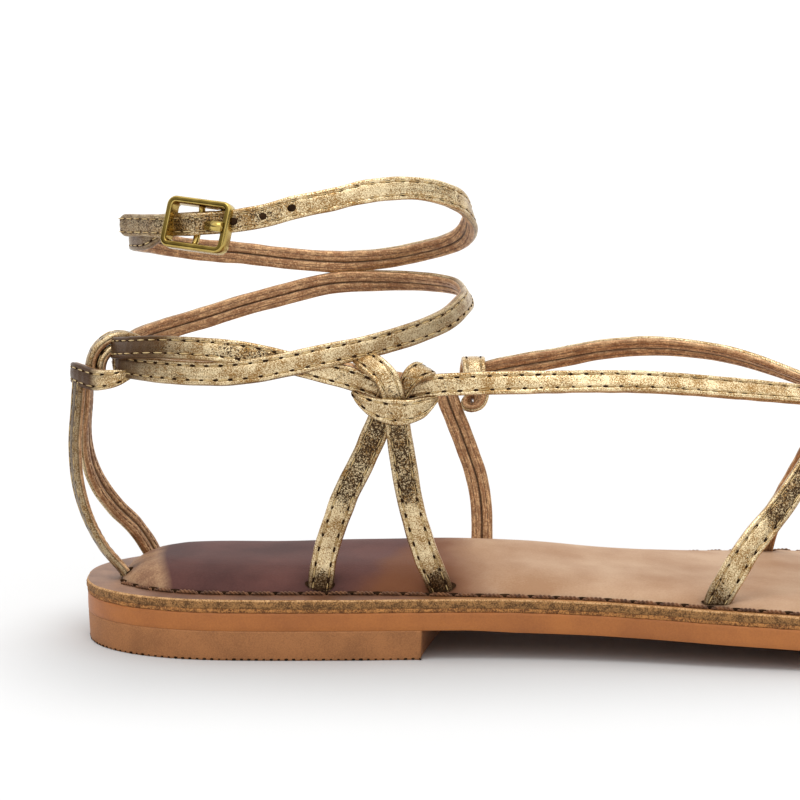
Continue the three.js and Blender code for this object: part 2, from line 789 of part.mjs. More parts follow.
function roundedRectangle(path, length, height, radius) {
  const l = length / 2;
  const h = height / 2;
  path.moveTo(l - radius, -h);
  path.absarc(l - radius, -h + radius, radius, -Math.PI / 2, 0, false);
  path.absarc(l - radius, h - radius, radius, 0, Math.PI / 2, false);
  path.absarc(-l + radius, h - radius, radius, Math.PI / 2, Math.PI, false);
  path.absarc(-l + radius, -h + radius, radius, Math.PI, Math.PI * 1.5, false);
  return path;
}

function buckleFrame() {
  const shape = roundedRectangle(new THREE.Shape(), BUCKLE_LENGTH, BUCKLE_HEIGHT, BUCKLE_CORNER);
  const innerLength = BUCKLE_LENGTH - 2 * BUCKLE_BAR;
  const innerHeight = BUCKLE_HEIGHT - 2 * BUCKLE_BAR;
  shape.holes.push(roundedRectangle(new THREE.Path(), innerLength, innerHeight, WINDOW_CORNER));
  const options = { depth: BUCKLE_DEPTH, bevelEnabled: false, curveSegments: CORNER_STEPS };
  const ring = new THREE.ExtrudeGeometry(shape, options);
  ring.translate(0, 0, BAR_DROP - BUCKLE_DEPTH / 2);
  let body = solid(ring);
  const lugDepth = BAR_DROP + CENTRE_BAR_RADIUS;
  for (const end of [-1, 1]) {
    const lug = new THREE.BoxGeometry(2 * CENTRE_BAR_RADIUS, BUCKLE_BAR, lugDepth);
    lug.translate(0, (end * (BUCKLE_HEIGHT - BUCKLE_BAR)) / 2, lugDepth / 2 - CENTRE_BAR_RADIUS);
    body = body.add(solid(lug));
  }
  const barLength = BUCKLE_HEIGHT - BUCKLE_BAR;
  const bar = new THREE.CylinderGeometry(CENTRE_BAR_RADIUS, CENTRE_BAR_RADIUS, barLength, BAR_SIDES);
  body = body.add(solid(bar));
  const geometry = fromSolid(body);
  geometry.applyMatrix4(buckleMatrix());
  return geometry;
}

// The prong as a bent flat bar; extra widens it all round
function prongBody(extra) {
  const scale = BUCKLE_LENGTH / 2;
  const line = PRONG.map(([u, w]) => new THREE.Vector2(u * scale, w * scale));
  const half = PRONG_THICKNESS / 2 + extra;
  const left = [];
  const right = [];
  line.forEach((p, i) => {
    const before = line[Math.max(i - 1, 0)];
    const after = line[Math.min(i + 1, line.length - 1)];
    const tangent = after.clone().sub(before).normalize();
    const normal = new THREE.Vector2(-tangent.y, tangent.x);
    const tip = p.clone();
    if (i === 0) tip.addScaledVector(tangent, -extra);
    if (i === line.length - 1) tip.addScaledVector(tangent, extra);
    left.push(tip.clone().addScaledVector(normal, half));
    right.unshift(tip.clone().addScaledVector(normal, -half));
  });
  const shape = new THREE.Shape([...left, ...right]);
  const width = PRONG_WIDTH + 2 * extra;
  const geometry = new THREE.ExtrudeGeometry(shape, { depth: width, bevelEnabled: false });
  geometry.translate(0, 0, -width / 2);
  geometry.applyMatrix4(new THREE.Matrix4().makeRotationX(Math.PI / 2));
  geometry.applyMatrix4(buckleMatrix());
  return geometry;
}

// The straps as one joined solid, with the hole that the prong goes through
function upper() {
  let body = null;
  for (const route of Object.values(ROUTES)) {
    const piece = strap(strapFrames(routeRows(route)), STRAP_WIDTH, STRAP_THICKNESS);
    body = body ? body.add(piece) : piece;
  }
  return fromSolid(body.subtract(solid(prongBody(FIT))));
}

const group = new THREE.Group();

function addPiece(name, geometry, color, roughness, metalness) {
  const material = new THREE.MeshStandardMaterial({ color, roughness, metalness });
  const mesh = new THREE.Mesh(geometry, material);
  mesh.name = name;
  group.add(mesh);
}

addPiece("heel_lift", heelLift(), 0xb57d4a, 0.6, 0);
addPiece("outsole", layer(LAYER_STEP, soleUnder, outsoleTop), 0xae6c3b, 0.45, 0);
addPiece("midsole", layer(2 * LAYER_STEP, midsoleUnder, midsoleTop), 0xc78a55, 0.8, 0);
addPiece("footbed", slotted(layer(0, footbedUnder, footbedTop)), 0x8b6250, 0.5, 0);
addPiece("insole_pad", insolePad(), 0xa87a5c, 0.45, 0);
addPiece("upper", upper(), 0xc2a365, 0.35, 0.7);
addPiece("buckle_frame", buckleFrame(), 0xc9a64a, 0.25, 1);
addPiece("buckle_prong", prongBody(0), 0xc9a64a, 0.25, 1);

// The origin is on the floor, under the middle of the whole sandal
group.updateMatrixWorld(true);
const box = new THREE.Box3().setFromObject(group);
group.position.set(-(box.min.x + box.max.x) / 2, -(box.min.y + box.max.y) / 2, -box.min.z);

export default group;
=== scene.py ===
import math
import random

import bmesh
import bpy
import numpy as np
from mathutils import Matrix, Vector


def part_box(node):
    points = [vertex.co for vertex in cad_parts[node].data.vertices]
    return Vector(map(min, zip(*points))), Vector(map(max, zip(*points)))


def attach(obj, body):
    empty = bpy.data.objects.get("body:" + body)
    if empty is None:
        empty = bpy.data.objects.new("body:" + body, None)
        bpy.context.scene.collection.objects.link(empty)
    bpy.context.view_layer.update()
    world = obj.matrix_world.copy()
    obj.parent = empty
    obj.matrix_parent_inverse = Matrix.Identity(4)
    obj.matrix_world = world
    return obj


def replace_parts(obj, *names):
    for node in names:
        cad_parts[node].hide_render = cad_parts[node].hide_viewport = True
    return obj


# A gold leather sandal for the right foot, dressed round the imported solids. Sizes are in millimetres in the
# sandal's own frame, unless a line says otherwise: X from the back of the heel to the toe, +Y to the inner side,
# Z up from the floor. place() turns them into metres in the part's frame.
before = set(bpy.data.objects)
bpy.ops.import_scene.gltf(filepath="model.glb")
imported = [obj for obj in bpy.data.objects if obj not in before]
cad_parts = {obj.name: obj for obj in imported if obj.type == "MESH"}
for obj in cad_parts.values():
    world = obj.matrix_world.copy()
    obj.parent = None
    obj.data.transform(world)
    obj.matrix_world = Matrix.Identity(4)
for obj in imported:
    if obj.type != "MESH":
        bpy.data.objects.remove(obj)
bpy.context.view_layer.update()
MM = 0.001

# Sole outline
SOLE_LENGTH = 245
HEEL_WIDTH = 57.5
WAIST_WIDTH = 52.5
BALL_WIDTH = 80.5
HEEL_ROUND = 34
TOE_ROUND = 62
TOE_SHIFT = 10
HEEL_POWER = 2.3
TOE_POWER = 2.2

# Sole layers
LIFT_THICKNESS = 5.8
OUTSOLE_THICKNESS = 4.0
MIDSOLE_THICKNESS = 0.9
FOOTBED_THICKNESS = 1.5
FIT = 0.3
HEEL_LENGTH = 75.5
BREAST_SLANT = 8
BREAST_HOLLOW = 2
TOE_SPRING = 1.4
HEEL_BULGE = 0.95
RIM_LIFT = 0.35  # the soft leather stands this much above the hard footbed
SEAM_LIFT = 0.45  # the borders between the sole's layers look this much higher at the heel

# Insole pad
PAD_MARGIN = 6.2
PAD_BACK = 7.2
PAD_EDGE = 0.7
PAD_RAMP = 14.4
RAMP_POWER = 2.5
PAD_CROWN = 4.4
CROWN_POWER = 4
ARCH_RISE = 1.6
ARCH_PLACE = 0.34
ARCH_REACH = 0.14
ARCH_SIDE = 0.45
ARCH_SPREAD = 0.5
SLOT_SPREAD = 3.2  # reach of the leather pressed in round a slot, and of the painted shade there
SLOT_DIP = 0.3
PAD_ROLL = 1.5  # width of the pad's rounded edge
THREAD_PULL = 0.3  # how far each stitch pulls the pad's edge down, where and over what width
PULL_PLACE = 0.9
PULL_REACH = 1.3
PAD_RINGS = [0.0, 0.25, 0.6, 1.0, 1.5, 2.1, 2.9, 3.9, 5.2]  # rows of points near the pad's edge

# Straps
STRAP_WIDTH = 4.9
UPPER_WIDTH = 58
UPPER_HEIGHT = 100
RING_STEP = 0.45  # length of strap between two sections
STITCH_PITCH = 3.4
STITCH_EDGE = 1.0  # from the strap's edge to its stitches
THREAD_PITCH = 5.5  # of the thick thread round the insole
HOLES_START = 36  # the first punched hole is this far along the sandal
HOLES_PITCH = 6.1
STRAP_TIP = 1.2  # length over which a strap's end is rounded
SIDE_GROOVE = 0.75  # how dark the painted shade is in the groove between the two leathers in a strap's side
SEAM_REACH = 0.3  # half the width of the seam down the inner face
ROW_REACH = 0.14  # of the painted shade along the channel that the stitches lie in
ROW_DIP_REACH = 0.22  # of the leather that the stitches pull down
ROW_DIP = 0.1
FOLD_PLACE = 0.5  # of the painted shade lines along the folds of a strap, from its middle
FOLD_REACH = 0.13
EDGE_START = 1.55  # past this the foil is whole again and its painted shade fades, over the strap's rounded edge
EDGE_REACH = 0.4
EDGE_WHOLE = 0.65

# Stitches on the straps
STITCH_MARGIN = 1.3  # from the strap's end to its first stitch
STITCH_RISE = 0.86
NEEDLE_HOLE_RISE = 0.82
LINING_RISE = 0.96
LINING_ROW = 1.35  # from the strap's middle to a row of stitches on its inner face
PUNCHED_HOLE_RISE = 0.93
PUNCHED_HOLES = 2.1  # pitches from the last punched hole to just past the first

# Thread round the insole
THREAD_OUT = 0.5  # how far outside the pad's edge the thread and its holes lie, and how high above the rim
THREAD_UP = 0.45
THREAD_HOLE_OUT = 0.1
THREAD_HOLE_UP = 0.35
THREAD_START = 3.2  # where the thread begins on the outer side and ends on the inner side
THREAD_END = 8

# Buckle
BUCKLE_LENGTH = 13.8
BUCKLE_DEPTH = 1.7
BUCKLE_CORNER = 2
BAR_DROP = 1.8
RING_LENGTH = 15.3  # the ring as it looks, with its walls a little deeper than they have to be
RING_HEIGHT = 11.1
RING_SHIFT = 0.7
RING_DEPTH = 3.2
RING_SECTION = [  # outward from the ring's edge, and up from its front; the third row starts the front face
    (0.0, -0.35), (-0.2, -0.08), (-0.36, 0.0), (-1.08, 0.0), (-1.22, -0.1), (-1.34, -0.35), (-1.42, -1.2),
    (-1.55, -RING_DEPTH + 0.4), (-1.5, -RING_DEPTH + 0.1), (-1.3, -RING_DEPTH), (-0.3, -RING_DEPTH),
    (-0.05, -RING_DEPTH + 0.15), (0.05, -RING_DEPTH + 0.5), (0.04, -1.2),
]
RING_FRONT_ROW = 2
RING_FRONT = BAR_DROP + BUCKLE_DEPTH / 2 + 0.1  # the front of the ring above the strap's middle
BAR_SHIFT = 0.4
BAR_RADIUS = 0.72
BAR_BEND = 1.4  # how far the centre bar's ends turn up into the ring
PRONG_BEVEL = 0.18

# Thread, holes and notches: length, width and height
STITCH_SIZE = (2.6, 0.3, 0.3)
LINING_STITCH_SIZE = (1.6, 0.2, 0.2)
NEEDLE_HOLE_SIZE = (1.3, 0.55, 0.3)
PUNCHED_HOLE_SIZE = (1.9, 1.6, 0.34)
THREAD_HOLE_SIZE = (3.0, 1.1, 0.8)
NOTCH_SIZE = (0.75, 0.5, 0.34)
NOTCH_PITCH = 1.6
THREAD_STRAND = 0.25
THREAD_TURNS = 3.0
SLOT_LENGTH = 3.3  # half the length and width of the painted slot shade round a strap
SLOT_WIDTH = 1.35

# Walls of the sole's layers, from the bottom edge to the top edge: share of the height, inset, lift
OUTSOLE_WALL = [(0, 1.8, 0), (0, 0.9, 0), (0, 0.4, 0.03), (0, 0.35, 0.15), (0.3, 0.32, 0), (0.6, 0.3, 0),
                (0.85, 0.3, 0), (1, 0.3, -0.12), (1, 0.42, -0.02), (1, 0.9, 0)]
MIDSOLE_WALL = [(0, 1.6, 0), (0, 0.42, 0), (0.1, 0.3, 0), (0.4, 0.22, 0), (0.6, 0.22, 0), (0.9, 0.26, 0),
                (1, 0.34, 0), (1, 1.6, 0)]
FOOTBED_WALL = [(0, 1.6, 0), (0, 0.3, 0), (0.12, 0.14, 0), (0.3, 0.05, 0), (0.5, 0.0, 0), (0.7, 0.02, 0),
                (0.82, 0.08, 0), (0.95, 0.18, 0), (1, 0.38, 0), (1, 0.62, 0), (1, 1.8, 0)]
# The heel lift's wall: inset and height
HEEL_WALL = [(1.3, 0.0), (0.95, 0.02), (0.75, 0.2), (0.68, 0.6), (0.55, 2.9), (0.42, 5.6), (0.4, 6.2),
             (0.4, 6.55), (1.2, 6.57)]

# Handmade unevenness: wavelength and height of the waves along a strap or round the sole
STRAP_WIDTH_WAVES = [(23, 0.03), (7, 0.02)]  # as shares of the width
STRAP_PUFF_WAVES = [(11, 0.05), (3.1, 0.035)]
STRAP_SWAY_WAVES = [(17, 0.1)]
OUTSOLE_WAVES = [(60, 0.08)]
BOARD_WAVES = [(9, 0.12), (2.2, 0.14)]
FOOTBED_WAVES = [(40, 0.12), (12, 0.08)]
FIBRE_WAVES = [(2.4, 0.07), (1.1, 0.05)]
PAD_WAVES = [(31, 0.12)]

# The middle of the part's box, in the sandal's own frame
FOOTBED_LOW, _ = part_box("footbed")
BOX_MIDDLE = np.array([-FOOTBED_LOW.x / MM, 5.78, 0.0])

# Camera, in the sandal's own frame
CAMERA_PLACE = (105.4, -691.2, 150.4)
CAMERA_TARGET = (69.1, 1.0, 53.0)
CAMERA_LENS = 141.75
SENSOR_WIDTH = 36

# The floor and the key light, in metres in the part's frame
FLOOR_REACH = 80.0
LIGHT_PLACE = (-0.15, -0.35, 1.1)
LIGHT_TARGET = (0, 0, 0.03)
LIGHT_SIZE = (0.5, 0.4)
LIGHT_ENERGY = 3

# Outline: place along the sole, reach to the outer and inner side as shares of the width, width
OUTLINE = [
    (0.0, 0.5, 0.5, HEEL_WIDTH),
    (0.14, 0.505, 0.5, HEEL_WIDTH),
    (0.24, 0.485, 0.49, HEEL_WIDTH),
    (0.31, 0.5, 0.52, WAIST_WIDTH),
    (0.375, 0.482, 0.515, WAIST_WIDTH),
    (0.44, 0.495, 0.54, WAIST_WIDTH),
    (0.5, 0.345, 0.395, BALL_WIDTH),
    (0.57, 0.385, 0.465, BALL_WIDTH),
    (0.635, 0.413, 0.525, BALL_WIDTH),
    (0.7, 0.43, 0.565, BALL_WIDTH),
    (0.76, 0.425, 0.575, BALL_WIDTH),
    (0.82, 0.4, 0.565, BALL_WIDTH),
    (0.9, 0.36, 0.54, BALL_WIDTH),
    (1.0, 0.32, 0.5, BALL_WIDTH),
]
# Underside of the outsole: place along the sole, height as a share of the heel lift, share of the toe spring
PROFILE = [
    (0.0, 1.0, 0),
    (0.38, 1.0, 0),
    (0.45, 0.97, 0),
    (0.5, 0.92, 0),
    (0.57, 0.84, 0),
    (0.635, 0.76, 0),
    (0.7, 0.5, 0),
    (0.76, 0.22, 0),
    (0.82, 0.0, 0),
    (0.94, 0.0, 0),
    (1.0, 0.0, 1),
]
# Pad: place along the sole, margin outer and inner as shares of the pad margin, crown and edge as shares
PAD = [
    (0.0, 1.0, 1.0, 1.0, 1.0),
    (0.1, 1.0, 0.9, 1.0, 1.0),
    (0.24, 1.0, 0.9, 1.0, 1.0),
    (0.3, 0.78, 0.75, 1.0, 1.0),
    (0.37, 0.45, 0.5, 0.95, 0.9),
    (0.45, 0.36, 0.4, 0.78, 0.75),
    (0.54, 0.32, 0.34, 0.5, 0.65),
    (0.65, 0.32, 0.32, 0.32, 0.6),
    (1.0, 0.32, 0.32, 0.25, 0.6),
]
# Slots: place along the sole, place across it from the outer to the inner edge, heading of the strap's face
SLOTS = {
    "outer_rear": (0.2155, 0.137, -90),
    "outer_front": (0.323, 0.104, -90),
    "outer_toe": (0.565, 0.063, -90),
    "inner_front": (0.3545, 0.889, 90),
    "inner_toe": (0.62, 0.928, 90),
    "outer_heel": (0.0345, 0.36, -160),
    "inner_heel": (0.0495, 0.815, 160),
    "toe": (0.842, 0.515, -90),
}
# Buckle: along, across and up as in the routes, heading of its face, tilt of its length
BUCKLE = (0.112, -0.455, 0.944, -110, -8.8)
# How the ring hangs on the strap: as above, with the lift of its face before the tilt
RING_POSE = (0.112, -0.455, 0.9385, -111, 17, -5)
# The strap through the buckle: along the strap and outward, as shares of half the buckle's length
OVER_BAR = [(1.2, -0.04), (0.82, -0.08), (0.0, 0.27), (-0.82, -0.08), (-1.2, -0.06)]
UNDER_BAR = [(0.62, -0.255), (0.3, -0.27), (-0.3, -0.27), (-0.82, -0.345), (-1.2, -0.325)]
STRAP_RISE = 0.09


def facing(heading, lift=0.0):
    """Direction of an outer face: heading 0 faces the toe, 90 the inner side, lift 90 faces up."""
    h, l = np.radians(heading), np.radians(lift)
    return np.stack([np.cos(h) * np.cos(l), np.sin(h) * np.cos(l), np.sin(l) + 0 * h], axis=-1)


def through_buckle(rows, turn):
    """Route rows for the strap through the buckle; turn counts the whole turns that the route has made."""
    along, across, up, heading, _ = BUCKLE
    outward = math.radians(heading)
    half = BUCKLE_LENGTH / 2
    made = []
    for u, w in rows:
        x = -math.sin(outward) * u + math.cos(outward) * w
        y = math.cos(outward) * u + math.sin(outward) * w
        z = STRAP_RISE * u
        made.append((along + x * half / SOLE_LENGTH, across + y * half / UPPER_WIDTH,
                     up + z * half / UPPER_HEIGHT, heading + 360 * turn, 0))
    return made


# Strap routes. A row is a point on the strap's middle: along, across and up as shares of the sole's length and
# the upper's width and height, then heading and lift of the outer face in degrees. "foot" names the slot where
# the strap starts; "dark" gives places along it with how much its foil is crackled and darkened by painted shade,
# "shade" how much painted shade browns it and "wide" its width as a share of the full width; "tip" is the length
# over which its end is rounded and "painted_fold_shade" how dark the painted shade is along the folds that run
# along it.
ROUTES = {
    "outer_rear_leg": {
        "foot": "outer_rear",
        "dark": [(0, 1), (0.1, 0.95), (0.17, 0.08), (0.38, 0.05), (0.5, 0.9), (1, 1)],
        "shade": [(0, 0.8), (0.1, 0.7), (0.17, 0.05), (0.4, 0.05), (0.52, 0.25), (1, 0.3)],
        "wide": [(0, 1.0), (0.12, 1.12), (1, 1.14)],
        "rows": [
            (0.2206, -0.355, 0.222, -90, 0),
            (0.2375, -0.42, 0.346, -90, 0),
            (0.2532, -0.457, 0.428, -90, 0),
            (0.268, -0.483, 0.508, -90, 0),
            (0.2765, -0.495, 0.56, -90, 0),
            (0.281, -0.5, 0.6, -90, 0),
        ],
    },
    "outer_front_leg": {
        "foot": "outer_front",
        "dark": [(0, 1), (0.14, 0.95), (0.2, 0.1), (0.42, 0.05), (0.53, 0.9), (1, 1)],
        "shade": [(0, 0.8), (0.12, 0.7), (0.19, 0.05), (0.42, 0.05), (0.54, 0.25), (1, 0.3)],
        "wide": [(0, 1.0), (0.12, 1.12), (1, 1.12)],
        "rows": [
            (0.3096, -0.405, 0.23, -90, 0),
            (0.2967, -0.457, 0.352, -90, 0),
            (0.2914, -0.483, 0.432, -90, 0),
            (0.2871, -0.505, 0.511, -90, 0),
            (0.285, -0.515, 0.56, -90, 0),
            (0.284, -0.51, 0.6, -90, 0),
        ],
    },
    "inner_leg": {
        "foot": "inner_front",
        "dark": [(0, 0.6), (0.3, 0.2), (1, 0.6)],
        "rows": [
            (0.3536, 0.41, 0.255, 90, 0),
            (0.3482, 0.44, 0.325, 90, 0),
            (0.339, 0.457, 0.387, 90, 0),
            (0.3243, 0.466, 0.48, 90, 0),
            (0.3183, 0.47, 0.522, 90, 0),
        ],
    },
    "instep_wrap": {
        "dark": [(0, 0.4), (0.1, 0.3), (0.17, 0.75), (0.215, 0.8), (0.24, 0.3), (0.3, 0.5), (0.4, 0.3), (1, 0.3)],
        "shade": [(0, 0.35), (0.1, 0.1), (0.22, 0.1), (0.28, 0.5), (0.33, 0.95), (0.45, 1.0), (0.52, 0.3), (1, 0.3)],
        "rows": [
            (0.2894, -0.5, 0.575, -90, 0),
            (0.2535, -0.485, 0.61, -90, 0),
            (0.2, -0.48, 0.644, -90, 8),
            (0.163, -0.478, 0.664, -95, 14),
            (0.12, -0.445, 0.674, -106, 18),
            (0.077, -0.362, 0.672, -125, 20),
            (0.0425, -0.225, 0.66, -148, 16),
            (0.0245, -0.05, 0.648, -172, 0),
            (0.026, 0.13, 0.635, -200, 0),
            (0.051, 0.29, 0.62, -225, 0),
            (0.09, 0.397, 0.603, -245, 0),
            (0.163, 0.457, 0.582, -262, 0),
            (0.206, 0.462, 0.567, -268, 0),
            (0.245, 0.466, 0.547, -270, 0),
            (0.281, 0.47, 0.5315, -270, 0),
            (0.314, 0.474, 0.5265, -270, 0),
            (0.345, 0.475, 0.53, -270, 0),
        ],
    },
    "lower_ring": {
        "dark": [(0, 0.3), (0.1, 0.3), (0.14, 0.25), (0.2, 0.05), (0.33, 0.1), (0.4, 0.2), (0.6, 0.3), (1, 0.4)],
        "shade": [(0, 0.9), (0.06, 0.85), (0.11, 0.3), (0.2, 0.15), (0.3, 0.25), (0.38, 0.5), (0.45, 0.4),
                  (0.52, 0.3), (1, 0.3)],
        "wide": [(0, 1.07), (0.22, 1.07), (0.33, 1), (1, 1)],
        "rows": [
            (0.0255, -0.02, 0.622, -175, 0),
            (0.04, -0.185, 0.618, -150, 10),
            (0.077, -0.35, 0.6195, -125, 15),
            (0.12, -0.447, 0.6215, -108, 15),
            (0.157, -0.493, 0.631, -98, 14),
            (0.192, -0.508, 0.648, -92, 13),
            (0.2275, -0.493, 0.6676, -82, 12),
            (0.275, -0.424, 0.6904, -62, 12),
            (0.322, -0.297, 0.7254, -40, 12),
            (0.3389, -0.155, 0.7518, -18, 14),
            (0.3418, 0.017, 0.761, 3, 28),
            (0.3305, 0.222, 0.7722, 32, 40),
            (0.2964, 0.36, 0.775, 58, 38),
            (0.256, 0.443, 0.771, 78, 22),
            (0.2105, 0.479, 0.762, 88, 6),
            (0.172, 0.479, 0.739, 95, 0),
            (0.127, 0.448, 0.71, 110, 0),
            (0.084, 0.374, 0.68, 128, 0),
            (0.044, 0.238, 0.655, 150, 0),
            (0.0235, 0.06, 0.632, 175, 0),
            (0.0275, -0.08, 0.62, 200, 0),
        ],
    },
    "ankle_strap": {
        "dark": [(0, 0.6), (0.3, 0.2), (0.58, 0.2), (0.66, 0.3), (0.74, 0.1), (0.79, 0.3), (0.84, 0.7), (0.92, 0.75),
                 (1, 0.5)],
        "shade": [(0, 0.6), (0.1, 0.8), (0.2, 0.4), (0.55, 0.3), (0.6, 0.4), (0.66, 0.02), (0.8, 0.02), (0.86, 0.2),
                  (0.93, 0.45), (1, 0.65)],
        "tip": 2.6,
        "rows": [
            *through_buckle(UNDER_BAR, 0),
            (0.0615, -0.265, 0.904, -138, 0),
            (0.0445, -0.1, 0.893, -162, 0),
            (0.0425, 0.05, 0.882, -184, 0),
            (0.053, 0.214, 0.868, -208, 0),
            (0.081, 0.371, 0.846, -233, 0),
            (0.12, 0.452, 0.834, -250, 0),
            (0.158, 0.488, 0.822, -262, 0),
            (0.195, 0.5, 0.813, -270, 0),
            (0.2295, 0.486, 0.812, -278, 8),
            (0.2635, 0.448, 0.823, -288, 26),
            (0.3, 0.374, 0.8444, -302, 40),
            (0.3321, 0.231, 0.8765, -328, 42),
            (0.3453, 0.02, 0.9257, -358, 28),
            (0.3414, -0.155, 0.9704, -379, 14),
            (0.3311, -0.255, 0.9938, -396, 6),
            (0.3118, -0.34, 1.0118, -411, 6),
            (0.2875, -0.407, 1.0191, -422, 8),
            (0.2575, -0.457, 1.0125, -431, 10),
            (0.228, -0.486, 0.9965, -440, 10),
            (0.197, -0.5, 0.981, -449, 5),
            (0.171, -0.499, 0.963, -457, 0),
            *through_buckle(OVER_BAR, -1),
            (0.0605, -0.3, 0.932, -491, 0),
            (0.0365, -0.165, 0.926, -508, 0),
        ],
    },
    "outer_instep": {
        "dark": [(0, 0.4), (0.2, 0.2), (0.5, 0.1), (1, 0.2)],
        "shade": [(0, 0.3), (0.12, 0.0), (1, 0.0)],
        "rows": [
            (0.292, -0.495, 0.59, -90, 3),
            (0.3155, -0.49, 0.6028, -90, 4),
            (0.345, -0.466, 0.605, -88, 9),
            (0.418, -0.431, 0.6075, -86, 24),
            (0.496, -0.362, 0.604, -82, 32),
            (0.5755, -0.259, 0.584, -74, 38),
            (0.64, -0.147, 0.562, -62, 46),
            (0.678, -0.04, 0.545, -48, 52),
        ],
    },
    "inner_instep": {
        "dark": [(0, 0.4), (0.5, 0.2), (1, 0.3)],
        "rows": [
            (0.34, 0.478, 0.54, 90, 5),
            (0.36, 0.469, 0.562, 90, 14),
            (0.4175, 0.448, 0.592, 88, 24),
            (0.4675, 0.414, 0.618, 86, 30),
            (0.5165, 0.362, 0.63, 82, 36),
            (0.5825, 0.259, 0.618, 74, 46),
            (0.643, 0.138, 0.578, 62, 56),
            (0.678, 0.04, 0.548, 48, 58),
        ],
    },
    "outer_toe_leg": {
        "foot": "outer_toe",
        "dark": [(0, 0.95), (0.1, 0.6), (0.18, 0.12), (0.34, 0.15), (0.42, 0.95), (1, 0.95)],
        "shade": [(0, 0.9), (0.08, 0.6), (0.15, 0.15), (0.36, 0.1), (0.45, 0.3), (1, 0.3)],
        "wide": [(0, 1.05), (0.1, 1.18), (0.35, 1.15), (0.6, 1.03), (1, 1)],
        "rows": [
            (0.5781, -0.448, 0.195, -88, 4),
            (0.5905, -0.422, 0.243, -84, 8),
            (0.6208, -0.345, 0.331, -76, 18),
            (0.6385, -0.284, 0.387, -68, 26),
            (0.6575, -0.19, 0.446, -54, 36),
            (0.679, -0.086, 0.508, -34, 46),
            (0.69, -0.02, 0.54, -14, 50),
        ],
    },
    "inner_toe_leg": {
        "foot": "inner_toe",
        "dark": [(0, 0.8), (0.2, 0.2), (1, 0.7)],
        "rows": [
            (0.626, 0.545, 0.205, 88, 6),
            (0.6375, 0.414, 0.282, 80, 16),
            (0.649, 0.31, 0.352, 70, 26),
            (0.66, 0.205, 0.42, 54, 36),
            (0.679, 0.086, 0.502, 34, 46),
            (0.69, 0.02, 0.54, 14, 50),
        ],
    },
    "toe_strap": {
        "foot": "toe",
        "dark": [(0, 0.9), (0.2, 0.2), (0.6, 0.3), (1, 0.5)],
        "rows": [
            (0.838, 0.132, 0.19, -80, 3),
            (0.824, 0.118, 0.27, -62, 10),
            (0.796, 0.09, 0.37, -38, 26),
            (0.752, 0.05, 0.472, -14, 46),
            (0.712, 0.015, 0.53, 0, 58),
            (0.682, 0.0, 0.555, 0, 66),
        ],
    },
    "outer_heel_leg": {
        "foot": "outer_heel",
        "dark": [(0, 0.5), (0.2, 0.4), (0.6, 0.5), (1, 0.6)],
        "shade": [(0, 0.6), (0.3, 0.55), (0.7, 0.65), (1, 0.75)],
        "wide": [(0, 1.1), (0.1, 1.0), (1, 0.95)],
        "painted_fold_shade": 0.8,
        "rows": [
            (0.0145, -0.112, 0.206, -160, -12),
            (0.0015, -0.112, 0.266, -158, -8),
            (-0.0065, -0.103, 0.324, -155, -4),
            (-0.0105, -0.09, 0.375, -154, 0),
            (-0.0115, -0.085, 0.44, -153, 2),
            (-0.0095, -0.075, 0.51, -152, 4),
            (-0.0075, -0.065, 0.58, -150, 4),
        ],
    },
    "inner_heel_leg": {
        "foot": "inner_heel",
        "dark": [(0, 0.5), (0.2, 0.3), (1, 0.5)],
        "shade": [(0, 0.5), (0.3, 0.3), (1, 0.5)],
        "painted_fold_shade": 0.4,
        "rows": [
            (0.033, 0.215, 0.218, 152, -16),
            (0.0155, 0.172, 0.269, 151, -12),
            (0.002, 0.129, 0.325, 156, -6),
            (-0.0055, 0.086, 0.385, 164, -2),
            (-0.007, 0.055, 0.447, 172, 2),
            (-0.004, 0.033, 0.52, 176, 6),
            (-0.0025, 0.028, 0.585, 178, 8),
        ],
    },
    "heel_band": {
        "dark": [(0, 0.3), (0.3, 0.15), (0.36, 0.5), (0.42, 0.3), (1, 0.3)],
        "shade": [(0, 0.6), (0.12, 0.45), (0.2, 0.1), (0.3, 0.1), (0.37, 0.6), (0.41, 1.0), (0.6, 1.0), (1, 0.7)],
        "wide": [(0, 0.25), (0.12, 0.45), (0.24, 0.8), (0.36, 0.95), (0.45, 0.98), (1, 0.9)],
        "rows": [
            (0.046, -0.12, 0.605, -50, 0),
            (0.0421, -0.195, 0.6016, -70, 5),
            (0.0313, -0.222, 0.5935, -90, 5),
            (0.0144, -0.19, 0.5863, -108, 0),
            (-0.0004, -0.115, 0.588, -130, 0),
            (-0.0113, -0.04, 0.59, -155, 0),
            (-0.0145, 0.03, 0.5845, -188, 0),
            (-0.0088, 0.09, 0.572, -215, 0),
            (0.004, 0.128, 0.565, -232, 0),
        ],
    },
    "heel_loop": {
        "dark": [(0, 0.5), (0.5, 0.3), (1, 0.5)],
        "shade": [(0, 0.6), (0.3, 0.4), (0.6, 0.2), (1, 0.6)],
        "painted_fold_shade": 0.7,
        "rows": [
            (0.003, -0.07, 0.59, -166, 0),
            (0.0034, -0.07, 0.617, -166, 6),
            (0.007, -0.06, 0.641, -166, 28),
            (0.0135, -0.05, 0.66, -164, 50),
            (0.0228, -0.04, 0.6727, -160, 74),
            (0.034, -0.02, 0.673, -160, 92),
            (0.0461, 0.0, 0.662, -160, 112),
        ],
    },
    "heel_loop_inside": {
        "dark": [(0, 0.2), (1, 0.2)],
        "shade": [(0, 0.5), (0.3, 0.2), (0.6, 0.2), (1, 0.6)],
        "painted_fold_shade": 0.7,
        "rows": [
            (0.0113, -0.07, 0.586, -160, 0),
            (0.0122, -0.07, 0.6122, -160, 6),
            (0.015, -0.06, 0.6302, -160, 28),
            (0.0198, -0.05, 0.6435, -159, 50),
            (0.0268, -0.04, 0.6518, -158, 74),
            (0.0357, -0.02, 0.653, -160, 92),
            (0.046, 0.0, 0.6417, -160, 112),
        ],
    },
    "outer_knot_band": {
